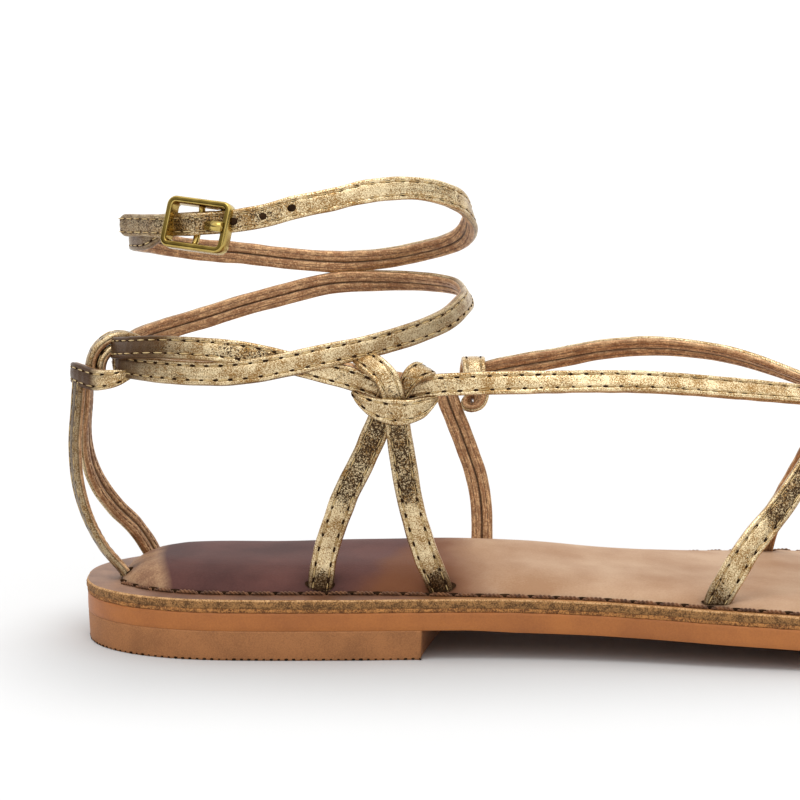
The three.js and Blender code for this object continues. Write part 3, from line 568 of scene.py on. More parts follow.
        "dark": [(0, 0.4), (0.3, 0.15), (0.5, 0.3), (1, 0.25)],
        "shade": [(0, 0.5), (0.3, 0.2), (0.8, 0.2), (1, 0.6)],
        "wide": [(0, 0.25), (0.15, 0.55), (0.35, 0.97), (0.55, 1.14), (0.75, 0.92), (1, 0.3)],
        "rows": [
            (0.2476, -0.5, 0.589, -95, 10),
            (0.256, -0.535, 0.574, -92, 5),
            (0.2655, -0.552, 0.562, -90, 0),
            (0.2775, -0.567, 0.555, -90, 0),
            (0.291, -0.567, 0.5515, -90, 0),
            (0.303, -0.562, 0.557, -88, 0),
            (0.3125, -0.54, 0.567, -84, 5),
            (0.32, -0.5, 0.576, -78, 10),
        ],
    },
    "outer_knot_wrap": {
        "dark": [(0, 0.05), (0.4, 0.05), (0.65, 0.4), (1, 0.8)],
        "shade": [(0, 0.3), (0.2, 0.0), (0.7, 0.0), (0.85, 0.3), (1, 0.9)],
        "rows": [
            (0.2545, -0.45, 0.656, -100, 60),
            (0.2615, -0.51, 0.6535, -96, 40),
            (0.2705, -0.562, 0.643, -92, 14),
            (0.278, -0.58, 0.625, -90, 4),
            (0.2822, -0.575, 0.6, -90, -4),
            (0.2842, -0.54, 0.57, -90, -15),
        ],
    },
    "outer_knot_turn": {
        "dark": [(0, 0.05), (0.4, 0.15), (0.7, 0.5), (1, 0.8)],
        "shade": [(0, 0.6), (0.25, 0.2), (0.7, 0.4), (1, 0.8)],
        "wide": [(0, 0.8), (0.3, 0.95), (0.7, 0.7), (1, 0.5)],
        "rows": [
            (0.3133, -0.466, 0.629, -60, 66),
            (0.3081, -0.515, 0.636, -75, 46),
            (0.3016, -0.545, 0.6316, -84, 22),
            (0.2964, -0.55, 0.617, -88, 8),
            (0.2929, -0.545, 0.5995, -90, 0),
            (0.2906, -0.53, 0.575, -90, -10),
        ],
    },
    "inner_knot_band": {
        "dark": [(0, 0.1), (1, 0.1)],
        "shade": [(0, 0.3), (0.5, 0.1), (1, 0.3)],
        "rows": [
            (0.35, 0.42, 0.56, 40, 0),
            (0.3524, 0.42, 0.525, 38, 0),
            (0.352, 0.42, 0.502, 36, -35),
            (0.3483, 0.42, 0.4865, 36, -68),
            (0.344, 0.43, 0.483, 34, -92),
            (0.3412, 0.45, 0.491, 32, -130),
            (0.3415, 0.47, 0.51, 30, -165),
        ],
    },
    "inner_knot_wrap": {
        "dark": [(0, 0.05), (1, 0.1)],
        "shade": [(0, 0.0), (1, 0.1)],
        "wide": [(0, 1.0), (0.3, 1.15), (1, 1.05)],
        "rows": [
            (0.342, 0.53, 0.535, -90, 172),
            (0.3427, 0.535, 0.5575, -90, 150),
            (0.3446, 0.515, 0.578, -90, 115),
            (0.3454, 0.475, 0.586, -90, 82),
            (0.3463, 0.43, 0.58, -90, 40),
            (0.3474, 0.405, 0.5578, -90, 5),
            (0.348, 0.4, 0.53, -90, -5),
        ],
    },
    "toe_knot_band": {
        "dark": [(0, 0.3), (0.5, 0.15), (1, 0.3)],
        "rows": [
            (0.672, -0.105, 0.5, -75, 0),
            (0.676, -0.1, 0.54, -60, 40),
            (0.687, -0.04, 0.572, -25, 66),
            (0.69, 0.04, 0.572, 25, 66),
            (0.679, 0.1, 0.54, 60, 40),
            (0.672, 0.105, 0.5, 75, 0),
        ],
    },
}
# The pieces of the upper and the routes that each is made of
STRAP_PIECES = {
    "heel_straps": ["outer_heel_leg", "inner_heel_leg", "heel_band", "heel_loop", "heel_loop_inside"],
    "instep_wrap_strap": ["instep_wrap"],
    "lower_ankle_ring": ["lower_ring"],
    "buckled_ankle_strap": ["ankle_strap"],
    "ankle_legs": ["outer_rear_leg", "outer_front_leg", "inner_leg"],
    "instep_straps": ["outer_instep", "inner_instep"],
    "toe_straps": ["outer_toe_leg", "inner_toe_leg", "toe_strap"],
    "strap_knots": ["outer_knot_band", "outer_knot_wrap", "outer_knot_turn", "inner_knot_band", "inner_knot_wrap",
                    "toe_knot_band"],
}
# Half of a strap's section: across and outward in millimetres, from the middle of the outer face round the edge
# to the seam in the middle of the inner face
HALF_SECTION = [
    (0.0, 0.97), (0.5, 0.96), (0.95, 0.92), (1.22, 0.86), (1.36, 0.8), (1.47, 0.78), (1.58, 0.81), (1.74, 0.89),
    (1.95, 0.92), (2.18, 0.86), (2.36, 0.68), (2.45, 0.42), (2.44, 0.16), (2.36, 0.02), (2.43, -0.12), (2.45, -0.38),
    (2.36, -0.68), (2.12, -0.88), (1.7, -0.95), (1.35, -0.92), (1.15, -0.95), (0.75, -0.97), (0.38, -0.92),
    (0.15, -0.8), (0.0, -0.52),
]


def read_table(table, at):
    """A smooth curve through the rows of a table that never overshoots them; at may be an array."""
    rows = np.array(table, float)
    places, values = rows[:, 0], rows[:, 1:]
    step = np.diff(places)[:, None]
    chord = np.diff(values, axis=0) / step
    slope = np.zeros_like(values)
    left, right = chord[:-1], chord[1:]
    same = left * right > 0
    slope[1:-1] = np.where(same, 2 * left * right / np.where(same, left + right, 1), 0)
    at = np.clip(np.asarray(at, float), places[0], places[-1])
    i = np.clip(np.searchsorted(places, at) - 1, 0, len(places) - 2)
    t = ((at - places[i]) / step[i, 0])[..., None]
    rise = slope[i] * step[i] * t * (1 - t) ** 2 - slope[i + 1] * step[i] * t * t * (1 - t)
    return values[i] + (values[i + 1] - values[i]) * t * t * (3 - 2 * t) + rise


def unit(vectors):
    """Rows of vectors, each one unit long."""
    return vectors / np.linalg.norm(vectors, axis=1)[:, None]


def length_so_far(points):
    """How far each point is along the line through all of them."""
    return np.concatenate([[0], np.cumsum(np.linalg.norm(np.diff(points, axis=0), axis=1))])


def place(points):
    """Millimetres in the sandal's own frame to metres in the part's frame."""
    return (np.asarray(points, float) - BOX_MIDDLE) * MM


def sole_edge(x, side):
    """Y of the sole's edge: side -1 is the outer edge, 1 the inner edge."""
    x = np.asarray(x, float)
    outer, inner, _ = np.moveaxis(read_table([(a, o * w, i * w, w) for a, o, i, w in OUTLINE], x / SOLE_LENGTH), -1, 0)
    reach = np.where(np.asarray(side) < 0, -outer, inner)
    back = np.clip(1 - x / HEEL_ROUND, 0, 1)
    front = np.clip((x - SOLE_LENGTH + TOE_ROUND) / TOE_ROUND, 0, 1)
    heel = reach * (1 - back ** HEEL_POWER) ** (1 / HEEL_POWER)
    toe = TOE_SHIFT + (reach - TOE_SHIFT) * (1 - front ** TOE_POWER) ** (1 / TOE_POWER)
    return np.where(x < HEEL_ROUND, heel, np.where(front > 0, toe, reach))


def sole_under(x):
    lift, spring = np.moveaxis(read_table(PROFILE, np.asarray(x) / SOLE_LENGTH), -1, 0)
    return lift * (LIFT_THICKNESS + FIT) + spring * TOE_SPRING


def outsole_top(x):
    return sole_under(x) + OUTSOLE_THICKNESS


def midsole_top(x):
    return outsole_top(x) + FIT + MIDSOLE_THICKNESS


def footbed_top(x):
    return midsole_top(x) + FIT + FOOTBED_THICKNESS + RIM_LIFT


def ripple(s, seed, waves):
    """A smooth random wave along s; waves lists (wavelength, height)."""
    dice = random.Random(seed)
    total = np.zeros_like(np.asarray(s, float))
    for wavelength, height in waves:
        for _ in range(3):
            length = wavelength * dice.uniform(0.7, 1.4)
            total += height / 3 * np.sin(2 * math.pi * (s / length + dice.random()))
    return total


def seam_lift(x):
    return SEAM_LIFT * np.clip((HEEL_LENGTH + 20 - np.asarray(x, float)) / 10, 0, 1)


def heel_bulge(x):
    """How far the rounded back of the sole stands out behind the plain outline."""
    return HEEL_BULGE * np.exp(-np.asarray(x, float) / 8)


class Loop:
    """The sole's outline as one closed row of points, from the back of the heel along the outer side."""

    def __init__(self, round_steps=56, middle_steps=170):
        turn = np.linspace(0, math.pi / 2, round_steps + 1)
        heel = HEEL_ROUND * (1 - np.cos(turn))
        toe = SOLE_LENGTH - TOE_ROUND * (1 - np.sin(turn))
        middle = np.linspace(HEEL_ROUND, SOLE_LENGTH - TOE_ROUND, middle_steps + 1)[1:-1]
        x = np.concatenate([heel, middle, toe])
        self.x = np.concatenate([x, x[-2:0:-1]])
        self.side = np.concatenate([-np.ones(len(x)), np.ones(len(x) - 2)])
        self.points = np.stack([self.x - heel_bulge(self.x), sole_edge(self.x, self.side)], axis=1)
        before, after = np.roll(self.points, 1, axis=0), np.roll(self.points, -1, axis=0)
        tangent = unit(after - before)
        self.inward = np.stack([-tangent[:, 1], tangent[:, 0]], axis=1)
        self.arc = length_so_far(self.points)
        spine_x = np.clip(self.x, 0.95 * HEEL_ROUND, SOLE_LENGTH - 0.75 * TOE_ROUND)
        spine_y = (sole_edge(spine_x, -1) + sole_edge(spine_x, 1)) / 2
        self.spine = np.stack([spine_x, spine_y], axis=1)

    def inset(self, amount):
        return self.points + self.inward * np.broadcast_to(np.asarray(amount, float), self.x.shape)[:, None]


def new_object(name, data):
    made = bpy.data.objects.new(name, data)
    bpy.context.scene.collection.objects.link(made)
    return made


def mesh_object(name, points, faces, smooth=True, weld=1e-6):
    """A mesh object from millimetre points, with its doubles merged."""
    mesh = bpy.data.meshes.new(name)
    mesh.from_pydata(place(points).tolist(), [], faces)
    mesh.validate()
    if weld:
        shape = bmesh.new()
        shape.from_mesh(mesh)
        bmesh.ops.remove_doubles(shape, verts=shape.verts, dist=weld)
        shape.to_mesh(mesh)
        shape.free()
    mesh.polygons.foreach_set("use_smooth", [smooth] * len(mesh.polygons))
    return new_object(name, mesh)


def ring_faces(rings, count, start=0, turned=False):
    """Quads between closed rings of count points that follow each other; turned ones face the other way."""
    faces = []
    for i in range(rings - 1):
        for k in range(count):
            a, b = start + i * count + k, start + i * count + (k + 1) % count
            faces.append((a, a + count, b + count, b) if turned else (a, b, b + count, a + count))
    return faces


def reshape(piece, work):
    """Changes a piece's mesh with work(shape), and turns all its faces outwards first."""
    shape = bmesh.new()
    shape.from_mesh(piece.data)
    bmesh.ops.recalc_face_normals(shape, faces=shape.faces)
    work(shape)
    shape.to_mesh(piece.data)
    shape.free()


def sole_layer(name, loop, under, over, wall, wobble, cap_steps=5):
    """A closed layer of the sole, with its wall's rows; the caps run in to the middle of the sole."""
    rings = []

    def ring(flat, share, lift):
        low, high = under(flat[:, 0]), over(flat[:, 0])
        rings.append(np.column_stack([flat, low + (high - low) * share + lift]))

    shares = np.linspace(0, 1, cap_steps + 1)
    first = loop.inset(wall[0][1])
    for t in shares[:0:-1]:
        ring(first + (loop.spine - first) * t, 0.0, 0.0)
    for share, inset, lift in wall:
        ring(loop.inset(inset + wobble(share)), share, lift)
    last = loop.inset(wall[-1][1])
    for t in shares[1:]:
        ring(last + (loop.spine - last) * t, 1.0, 0.0)
    count = len(loop.x)
    return mesh_object(name, np.concatenate(rings), ring_faces(len(rings), count))


def pad_margin(loop):
    outer, inner, _, _ = np.moveaxis(read_table(PAD, loop.x / SOLE_LENGTH), -1, 0)
    margin = PAD_MARGIN * np.where(loop.side < 0, outer, inner)
    return margin + heel_bulge(loop.x) + (PAD_BACK - PAD_MARGIN) * np.exp(-loop.x / 2)


def pad_rise(x, across):
    """Height of the pad above the footbed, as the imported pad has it."""
    at = np.asarray(x) / SOLE_LENGTH
    _, _, crown, edge = np.moveaxis(read_table(PAD, at), -1, 0)

    def ramp(distance):
        return 1 - (1 - np.clip(distance / PAD_RAMP, 0, 1)) ** RAMP_POWER

    rise = ramp(x - PAD_BACK) * ramp(SOLE_LENGTH - x)
    arch = ARCH_RISE * np.exp(-(((at - ARCH_PLACE) / ARCH_REACH) ** 2))
    arch = arch * np.exp(-(((across - ARCH_SIDE) / ARCH_SPREAD) ** 2))
    fall = 1 - np.abs(across) ** CROWN_POWER
    return (FIT + PAD_EDGE * edge), (PAD_CROWN * crown + arch) * fall * rise


class PadSurface:
    """The top of the insole, for any place on it."""

    def __init__(self, loop):
        self.loop = loop
        self.edge = loop.inset(pad_margin(loop))
        outer, inner = loop.side < 0, loop.side > 0
        self.outer = self.edge[outer][np.argsort(self.edge[outer][:, 0])]
        self.inner = self.edge[inner][np.argsort(self.edge[inner][:, 0])]

    def across(self, x, y):
        low = np.interp(x, self.outer[:, 0], self.outer[:, 1])
        high = np.interp(x, self.inner[:, 0], self.inner[:, 1])
        return np.clip(2 * (y - low) / np.maximum(high - low, 1e-3) - 1, -1, 1)

    def pressed(self, x, y):
        """How much the leather is pressed in round the strap's slots."""
        total = np.zeros_like(np.asarray(x, float))
        for name in SLOTS:
            slot_x, slot_y, _ = slot_place(name)
            total = total + np.exp(-((x - slot_x) ** 2 + (y - slot_y) ** 2) / SLOT_SPREAD ** 2)
        return total

    def height(self, x, y, roll=1.0):
        edge, crown = pad_rise(x, self.across(x, y))
        return footbed_top(x) + edge * roll + (crown - SLOT_DIP * self.pressed(x, y)) * roll


def catmull(rows):
    """Fine samples of a centripetal Catmull-Rom curve through rows of point, heading and lift."""
    rows = np.array(rows, float)
    padded = np.vstack([2 * rows[0] - rows[1], rows, 2 * rows[-1] - rows[-2]])
    made = []
    for i in range(len(rows) - 1):
        p0, p1, p2, p3 = padded[i:i + 4]
        gaps = [max(np.linalg.norm((b - a)[:3]) ** 0.5, 1e-3) for a, b in ((p0, p1), (p1, p2), (p2, p3))]
        d0, d1, d2 = gaps
        t1 = ((p1 - p0) / d0 - (p2 - p0) / (d0 + d1) + (p2 - p1) / d1) * d1
        t2 = ((p2 - p1) / d1 - (p3 - p1) / (d1 + d2) + (p3 - p2) / d2) * d1
        t = np.linspace(0, 1, 60, endpoint=i == len(rows) - 2)[:, None]
        made.append(p1 + t1 * t + (3 * (p2 - p1) - 2 * t1 - t2) * t ** 2 + (2 * (p1 - p2) + t1 + t2) * t ** 3)
    return np.vstack(made)


def slot_place(name):
    along, across, heading = SLOTS[name]
    x = along * SOLE_LENGTH
    outer, inner = float(sole_edge(x, -1)), float(sole_edge(x, 1))
    return x, outer + (inner - outer) * across, heading


class StrapPath:
    """Sections along one strap: middle, direction along, outer face and across, and the length so far."""

    def __init__(self, name):
        route = ROUTES[name]
        rows = [(a * SOLE_LENGTH, c * UPPER_WIDTH, u * UPPER_HEIGHT, h, l) for a, c, u, h, l in route["rows"]]
        if "foot" in route:
            x, y, heading = slot_place(route["foot"])
            low = float(midsole_top(x)) + FIT
            rows = [(x, y, low, heading, 0), (x, y, low + FOOTBED_THICKNESS + PAD_EDGE + FIT, heading, 0), *rows]
        fine = catmull(rows)
        gaps = np.linalg.norm(np.diff(fine[:, :3], axis=0), axis=1)
        length = np.concatenate([[0], np.cumsum(gaps)])
        keep = np.concatenate([[True], gaps > 1e-9])
        fine, length = fine[keep], length[keep]
        self.length = length[-1]
        count = max(8, round(self.length / RING_STEP))
        self.at = np.linspace(0, self.length, count + 1)
        even = np.stack([np.interp(self.at, length, fine[:, k]) for k in range(5)], axis=1)
        self.middle = even[:, :3]
        self.along = unit(np.gradient(self.middle, axis=0))
        face = facing(even[:, 3], even[:, 4])
        self.face = unit(face - self.along * np.sum(face * self.along, axis=1)[:, None])
        self.across = np.cross(self.face, self.along)
        self.foot = "foot" in route
        share = self.at / self.length
        self.dark = read_table(route["dark"], share)[:, 0]
        self.shade = read_table(route.get("shade", [(0, 0.2), (1, 0.2)]), share)[:, 0]
        self.wide = read_table(route.get("wide", [(0, 1), (1, 1)]), share)[:, 0]
        self.seed = name
        self.tip = route.get("tip", STRAP_TIP)
        self.painted_fold_shade = route.get("painted_fold_shade", 0.0)

    def taper(self):
        """Width share along the strap: rounded at both ends, except in a slot."""
        ends = [np.clip((self.length - self.at) / self.tip, 0, 1)]
        if not self.foot:
            ends.append(np.clip(self.at / STRAP_TIP, 0, 1))
        return np.minimum.reduce([np.sqrt(1 - (1 - e) ** 2) for e in ends]).clip(0.12)

    def line(self, start, end, across, outward):
        """Points on the strap between two lengths, offset from its middle, with the outer face's direction."""
        keep = (self.at >= start) & (self.at <= end)
        reach = (across * self.wide[keep])[:, None]
        points = self.middle[keep] + self.across[keep] * reach + self.face[keep] * outward
        return points, self.face[keep] * math.copysign(1, outward)


def section():
    """The whole section of a strap, as one closed row of points."""
    right = HALF_SECTION
    left = [(-u, v) for u, v in right[-2:0:-1]]
    return np.array(right + left)


def strap_mesh(name, paths):
    """The straps of one piece, with their cracks_and_painted_shade, shade, inner_face, seam_and_shade and strap_place
    attributes; shade is painted shade.
    """
    shape = section()
    count = len(shape)
    across, out = shape.T
    aside = np.abs(across)
    from_row = aside - (STRAP_WIDTH / 2 - STITCH_EDGE)
    inner = np.clip((0.1 - out) / 0.5, 0, 1)
    seam_and_shade = np.where(out < -0.3, np.clip(1 - aside / SEAM_REACH, 0, 1), 0)
    # painted shade in the side groove joins the inner seam's own dark line
    seam_and_shade = seam_and_shade + SIDE_GROOVE * (np.abs(out - 0.02) < 0.05)
    # painted shade in the channel that each row of stitches lies in
    stitch_row_shade = np.exp(-(from_row / ROW_REACH) ** 2) * (out > 0)
    around = length_so_far(shape)
    # painted shade lines along the folds of a fold-shaded strap
    fold_shade_lines = np.abs(aside - FOLD_PLACE) < FOLD_REACH
    whole = 1 - EDGE_WHOLE * np.clip((aside - EDGE_START) / EDGE_REACH, 0, 1)
    channel = np.exp(-(from_row / ROW_DIP_REACH) ** 2)
    channel = ROW_DIP * np.sign(out) * np.where(out > 0, channel, 0.5 * channel)
    crown = np.sign(out) * (1 - (aside / (STRAP_WIDTH / 2)) ** 2)
    points, faces, dark, shades, inside, seam_and_shade_rows, places = [], [], [], [], [], [], []
    for number, path in enumerate(paths):
        start = sum(len(p) for p in points)
        wave = ripple(path.at, path.seed + "width", STRAP_WIDTH_WAVES)
        puff = ripple(path.at, path.seed + "puff", STRAP_PUFF_WAVES)
        sway = ripple(path.at, path.seed + "sway", STRAP_SWAY_WAVES)
        width = path.taper() * path.wide * (1 + wave)
        thick = np.minimum(1, 0.35 + path.taper())
        hole = np.cos(2 * math.pi * path.at / STITCH_PITCH) ** 8
        for i in range(len(path.at)):
            reach = across * width[i]
            rise = out * thick[i] + puff[i] * crown - hole[i] * channel
            middle = path.middle[i] + path.across[i] * sway[i] * 0.5
            points.append(middle + np.outer(reach, path.across[i]) + np.outer(rise, path.face[i]))
            # the crack amount is part foil cracks and part painted shade
            dark.append(path.dark[i] * whole)
            # painted shade from the route, with more painted shade in the stitch channels
            shades.append(np.minimum(path.shade[i] + 0.4 * stitch_row_shade, 1))
            inside.append(inner)
            # the inner seam's dark line, with painted shade in the side grooves and along the folds
            seam_and_shade_rows.append(np.maximum(seam_and_shade, path.painted_fold_shade * fold_shade_lines))
            places.append(np.column_stack([np.full(count, path.at[i]), around, np.full(count, 30.0 * number)]))
        rings = len(path.at)
        faces += ring_faces(rings, count, start)
        for at, turned in ((0, False), (rings - 1, True)):
            centre = start + rings * count + turned
            for k in range(count):
                a, b = start + at * count + k, start + at * count + (k + 1) % count
                faces.append((centre, a, b) if turned else (centre, b, a))
        points.append(path.middle[[0, -1]])
        dark.append(path.dark[[0, -1]])
        shades.append(path.shade[[0, -1]])
        places.append(np.array([[0, 0, 30.0 * number], [path.length, 0, 30.0 * number]]))
        inside.append(np.zeros(2))
        seam_and_shade_rows.append(np.zeros(2))
    made = mesh_object(name, np.concatenate(points), faces, weld=0)
    for label, values in (("cracks_and_painted_shade", dark), ("shade", shades), ("inner_face", inside), ("seam_and_shade", seam_and_shade_rows)):
        layer = made.data.attributes.new(label, "FLOAT", "POINT")
        layer.data.foreach_set("value", np.concatenate(values).astype(np.float32))
    layer = made.data.attributes.new("strap_place", "FLOAT_VECTOR", "POINT")
    layer.data.foreach_set("vector", np.concatenate(places).astype(np.float32).ravel())
    return made


# Node trees
def add(tree, kind, inputs=None, **settings):
    """A node with its settings and inputs; an input is a value, or a socket to link from."""
    made = tree.nodes.new(kind)
    for key, value in settings.items():
        setattr(made, key, value)
    for key, value in (inputs or {}).items():
        if isinstance(value, bpy.types.NodeSocket):
            tree.links.new(value, made.inputs[key])
        else:
            made.inputs[key].default_value = value
    return made


def calc(tree, operation, *values):
    """A Math node's result."""
    return add(tree, "ShaderNodeMath", dict(enumerate(values)), operation=operation).outputs[0]


def spread(tree, value, low, high, to_low=0.0, to_high=1.0, curve="LINEAR"):
    """value mapped from low..high to to_low..to_high, and held at both ends."""
    inputs = {"Value": value, "From Min": low, "From Max": high, "To Min": to_low, "To Max": to_high}
    return add(tree, "ShaderNodeMapRange", inputs, interpolation_type=curve).outputs["Result"]


def noise(tree, where, scale, detail, **inputs):
    """A noise texture's value; scale is a number or a socket."""
    return add(tree, "ShaderNodeTexNoise", {"Vector": where, "Scale": scale, "Detail": detail, **inputs}).outputs["Fac"]


def object_place(tree):
    return add(tree, "ShaderNodeTexCoord").outputs["Object"]


def split(tree, vector):
    return add(tree, "ShaderNodeSeparateXYZ", {"Vector": vector}).outputs


def node_group(name, kind, inputs, outputs):
    """An empty node group and its inputs; inputs and outputs name the kind of each of its sockets."""
    tree = bpy.data.node_groups.new(name, kind)
    for side, sockets in (("INPUT", inputs), ("OUTPUT", outputs)):
        for label, kind in sockets.items():
            tree.interface.new_socket(label, in_out=side, socket_type="NodeSocket" + kind)
    return tree, add(tree, "NodeGroupInput").outputs


def repeat_tree():
    """Geometry nodes that set copies of a shape along a path, a pitch apart, with their X along the path and
    their Z along the path's own outward direction."""
    tree, given = node_group("repeat_along_path", "GeometryNodeTree",
                             {"Geometry": "Geometry", "Shape": "Object", "Pitch": "Float", "Unevenness": "Float",
                              "Seed": "Int", "Material": "Material"}, {"Geometry": "Geometry"})
    line = add(tree, "GeometryNodeMeshToCurve", {"Mesh": given["Geometry"]})
    even = add(tree, "GeometryNodeResampleCurve", {"Curve": line.outputs["Curve"], "Length": given["Pitch"]},
               mode="LENGTH")
    outward = add(tree, "GeometryNodeInputNamedAttribute", {"Name": "outward"}, data_type="FLOAT_VECTOR")
    tangent = add(tree, "GeometryNodeInputTangent")
    turn = add(tree, "FunctionNodeAxesToRotation",
               {"Primary Axis": outward.outputs["Attribute"], "Secondary Axis": tangent.outputs["Tangent"]},
               primary_axis="Z", secondary_axis="X")
    shape = add(tree, "GeometryNodeObjectInfo", {"Object": given["Shape"]})
    low = calc(tree, "SUBTRACT", 1.0, given["Unevenness"])
    high = calc(tree, "ADD", 1.0, given["Unevenness"])
    size = add(tree, "FunctionNodeRandomValue",
               {2: low, 3: high, "Seed": given["Seed"]}, data_type="FLOAT")
    copies = add(tree, "GeometryNodeInstanceOnPoints",
                 {"Points": even.outputs["Curve"], "Instance": shape.outputs["Geometry"],
                  "Rotation": turn.outputs["Rotation"], "Scale": size.outputs[1]})
    real = add(tree, "GeometryNodeRealizeInstances", {"Geometry": copies.outputs["Instances"]})
    done = add(tree, "GeometryNodeSetMaterial", {"Geometry": real.outputs["Geometry"],
                                                  "Material": given["Material"]})
    add(tree, "NodeGroupOutput", {"Geometry": done.outputs["Geometry"]})
    return tree


def along_lines(name, tree, lines, shape, pitch, material, unevenness=0.06, seed=1):
    """Copies of a shape along several lines; a line is its points in millimetres and outward directions."""
    points = np.concatenate([p for p, _ in lines])
    outward = np.concatenate([o for _, o in lines])
    edges, start = [], 0
    for p, _ in lines:
        edges += [(start + k, start + k + 1) for k in range(len(p) - 1)]
        start += len(p)
    mesh = bpy.data.meshes.new(name + "_lines")
    mesh.from_pydata(place(points).tolist(), edges, [])
    attribute = mesh.attributes.new("outward", "FLOAT_VECTOR", "POINT")
    attribute.data.foreach_set("vector", np.ascontiguousarray(outward, np.float32).ravel())
    guide = new_object(name + "_lines", mesh)
    modifier = guide.modifiers.new("repeat", "NODES")
    modifier.node_group = tree
    names = {item.name: item.identifier for item in tree.interface.items_tree if item.in_out == "INPUT"}
    values = {"Shape": shape, "Pitch": pitch * MM, "Unevenness": unevenness, "Seed": seed, "Material": material}
    for key, value in values.items():
        modifier[names[key]] = value
    bpy.context.view_layer.update()
    result = bpy.data.meshes.new_from_object(guide.evaluated_get(bpy.context.evaluated_depsgraph_get()))
    bpy.data.objects.remove(guide)
    result.name = name
    result.polygons.foreach_set("use_smooth", [True] * len(result.polygons))
    made = new_object(name, result)
    made.data.materials.clear()
    made.data.materials.append(material)
    return made


def small_shape(name, points, faces):
    """A shape to be repeated, from millimetre points round its own middle."""
    mesh = bpy.data.meshes.new(name)
    mesh.from_pydata([tuple(c * MM for c in p) for p in points], [], faces)
    return new_object(name, mesh)


def pill(name, size, sides=8, rings=6):
    """A small rounded body along X, used as a stitch, a needle hole or a notch."""
    length, width, height = size
    points = []
    for i in range(1, rings):
        angle = math.pi * i / rings
        for k in range(sides):
            turn = 2 * math.pi * k / sides
            points.append((-length / 2 * math.cos(angle), width / 2 * math.sin(angle) * math.cos(turn),
                           height / 2 * math.sin(angle) * math.sin(turn)))
    faces = ring_faces(rings - 1, sides, turned=True)
    first, last = len(points), len(points) + 1
    points += [(-length / 2, 0, 0), (length / 2, 0, 0)]
    tail = (rings - 2) * sides
    for k in range(sides):
        faces.append((first, k, (k + 1) % sides))
        faces.append((last, tail + (k + 1) % sides, tail + k))
    return small_shape(name, points, faces)


def twisted_stitch(name, length, strand, turns, strands=2, steps=22, sides=5):
    """One long stitch of twisted thread along X, whose ends dip into their needle holes."""
    points, faces = [], []
    for j in range(strands):
        start = len(points)
        for i in range(steps + 1):
            share = i / steps
            phase = 2 * math.pi * (turns * share + j / strands)
            taper = 1 - 0.45 * abs(2 * share - 1) ** 4
            x = (share - 0.5) * length
            y = strand * 0.9 * math.cos(phase) * taper
            z = strand * 0.9 * math.sin(phase) * taper - 0.75 * abs(2 * share - 1) ** 5
            for k in range(sides):
                turn = 2 * math.pi * k / sides
                points.append((x, y + strand * taper * math.cos(turn), z + strand * taper * math.sin(turn)))
        faces += ring_faces(steps + 1, sides, start, turned=True)
        faces.append(tuple(start + k for k in range(sides)))
        faces.append(tuple(start + steps * sides + k for k in range(sides))[::-1])
    return small_shape(name, points, faces)


# Materials
def linear(hex_colour):
    """A hex colour as linear red, green, blue and alpha."""
    values = [int(hex_colour[k:k + 2], 16) / 255 for k in (1, 3, 5)]
    return tuple(v / 12.92 if v <= 0.04045 else ((v + 0.055) / 1.055) ** 2.4 for v in values) + (1.0,)


def mottle_group():
    """Two colours mixed by soft blotches and fine specks, with a height for bump."""
    tree, given = node_group("mottle", "ShaderNodeTree",
                             {"Light": "Color", "Dark": "Color", "Blotch Size": "Float", "Grain Size": "Float",
                              "Grain": "Float"}, {"Color": "Color", "Height": "Float"})
    where = object_place(tree)
    blotch = noise(tree, where, calc(tree, "DIVIDE", 1.0, given["Blotch Size"]), 3.0)
    grain = noise(tree, where, calc(tree, "DIVIDE", 1.0, given["Grain Size"]), 3.0, Roughness=0.65)
    total = calc(tree, "ADD", blotch, calc(tree, "MULTIPLY", grain, given["Grain"]))
    level = calc(tree, "SUBTRACT", total, calc(tree, "MULTIPLY", given["Grain"], 0.5))
    colour = mix(tree, spread(tree, level, 0.3, 0.7), given["Light"], given["Dark"])
    add(tree, "NodeGroupOutput", {"Color": colour, "Height": grain})
    return tree


def crackle_group():
    """Fine dark specks of a worn foil: a mask that grows with the amount, which also carries painted shade, and a
    height for bump.
    """
    tree, given = node_group("foil_cracks_and_shade", "ShaderNodeTree",
                             dict.fromkeys(("Amount", "Speck Size", "Blotch Size"), "Float"),
                             dict.fromkeys(("Crack And Shade", "Height"), "Float"))
    where = object_place(tree)
    specks = noise(tree, where, calc(tree, "DIVIDE", 1.0, given["Speck Size"]), 4.0, Roughness=0.7, Distortion=0.6)
    blotch = noise(tree, where, calc(tree, "DIVIDE", 1.0, given["Blotch Size"]), 2.0)
    level = calc(tree, "ADD", given["Amount"], spread(tree, blotch, 0.3, 0.7, -0.2, 0.2))
    edge = spread(tree, level, 0.0, 1.0, 0.3, 0.52)
    crack_and_shade = spread(tree, specks, edge, calc(tree, "ADD", edge, 0.05), 1.0, 0.0)
    add(tree, "NodeGroupOutput", {"Crack And Shade": crack_and_shade, "Height": specks})
    return tree


def bump(tree, height, distance, strength=1.0, under=None):
    inputs = {"Height": height, "Distance": distance * MM, "Strength": strength}
    if under is not None:
        inputs["Normal"] = under
    return add(tree, "ShaderNodeBump", inputs).outputs["Normal"]


def attribute(tree, name):
    return add(tree, "ShaderNodeAttribute", attribute_name=name).outputs["Fac"]


def mix(tree, factor, first, second):
    return add(tree, "ShaderNodeMix", {"Factor": factor, 6: first, 7: second}, data_type="RGBA").outputs[2]


def mix_value(tree, factor, first, second):
    return add(tree, "ShaderNodeMix", {"Factor": factor, 2: first, 3: second}, data_type="FLOAT").outputs[0]


MOTTLE = mottle_group()
CRACKS_AND_SHADE = crackle_group()


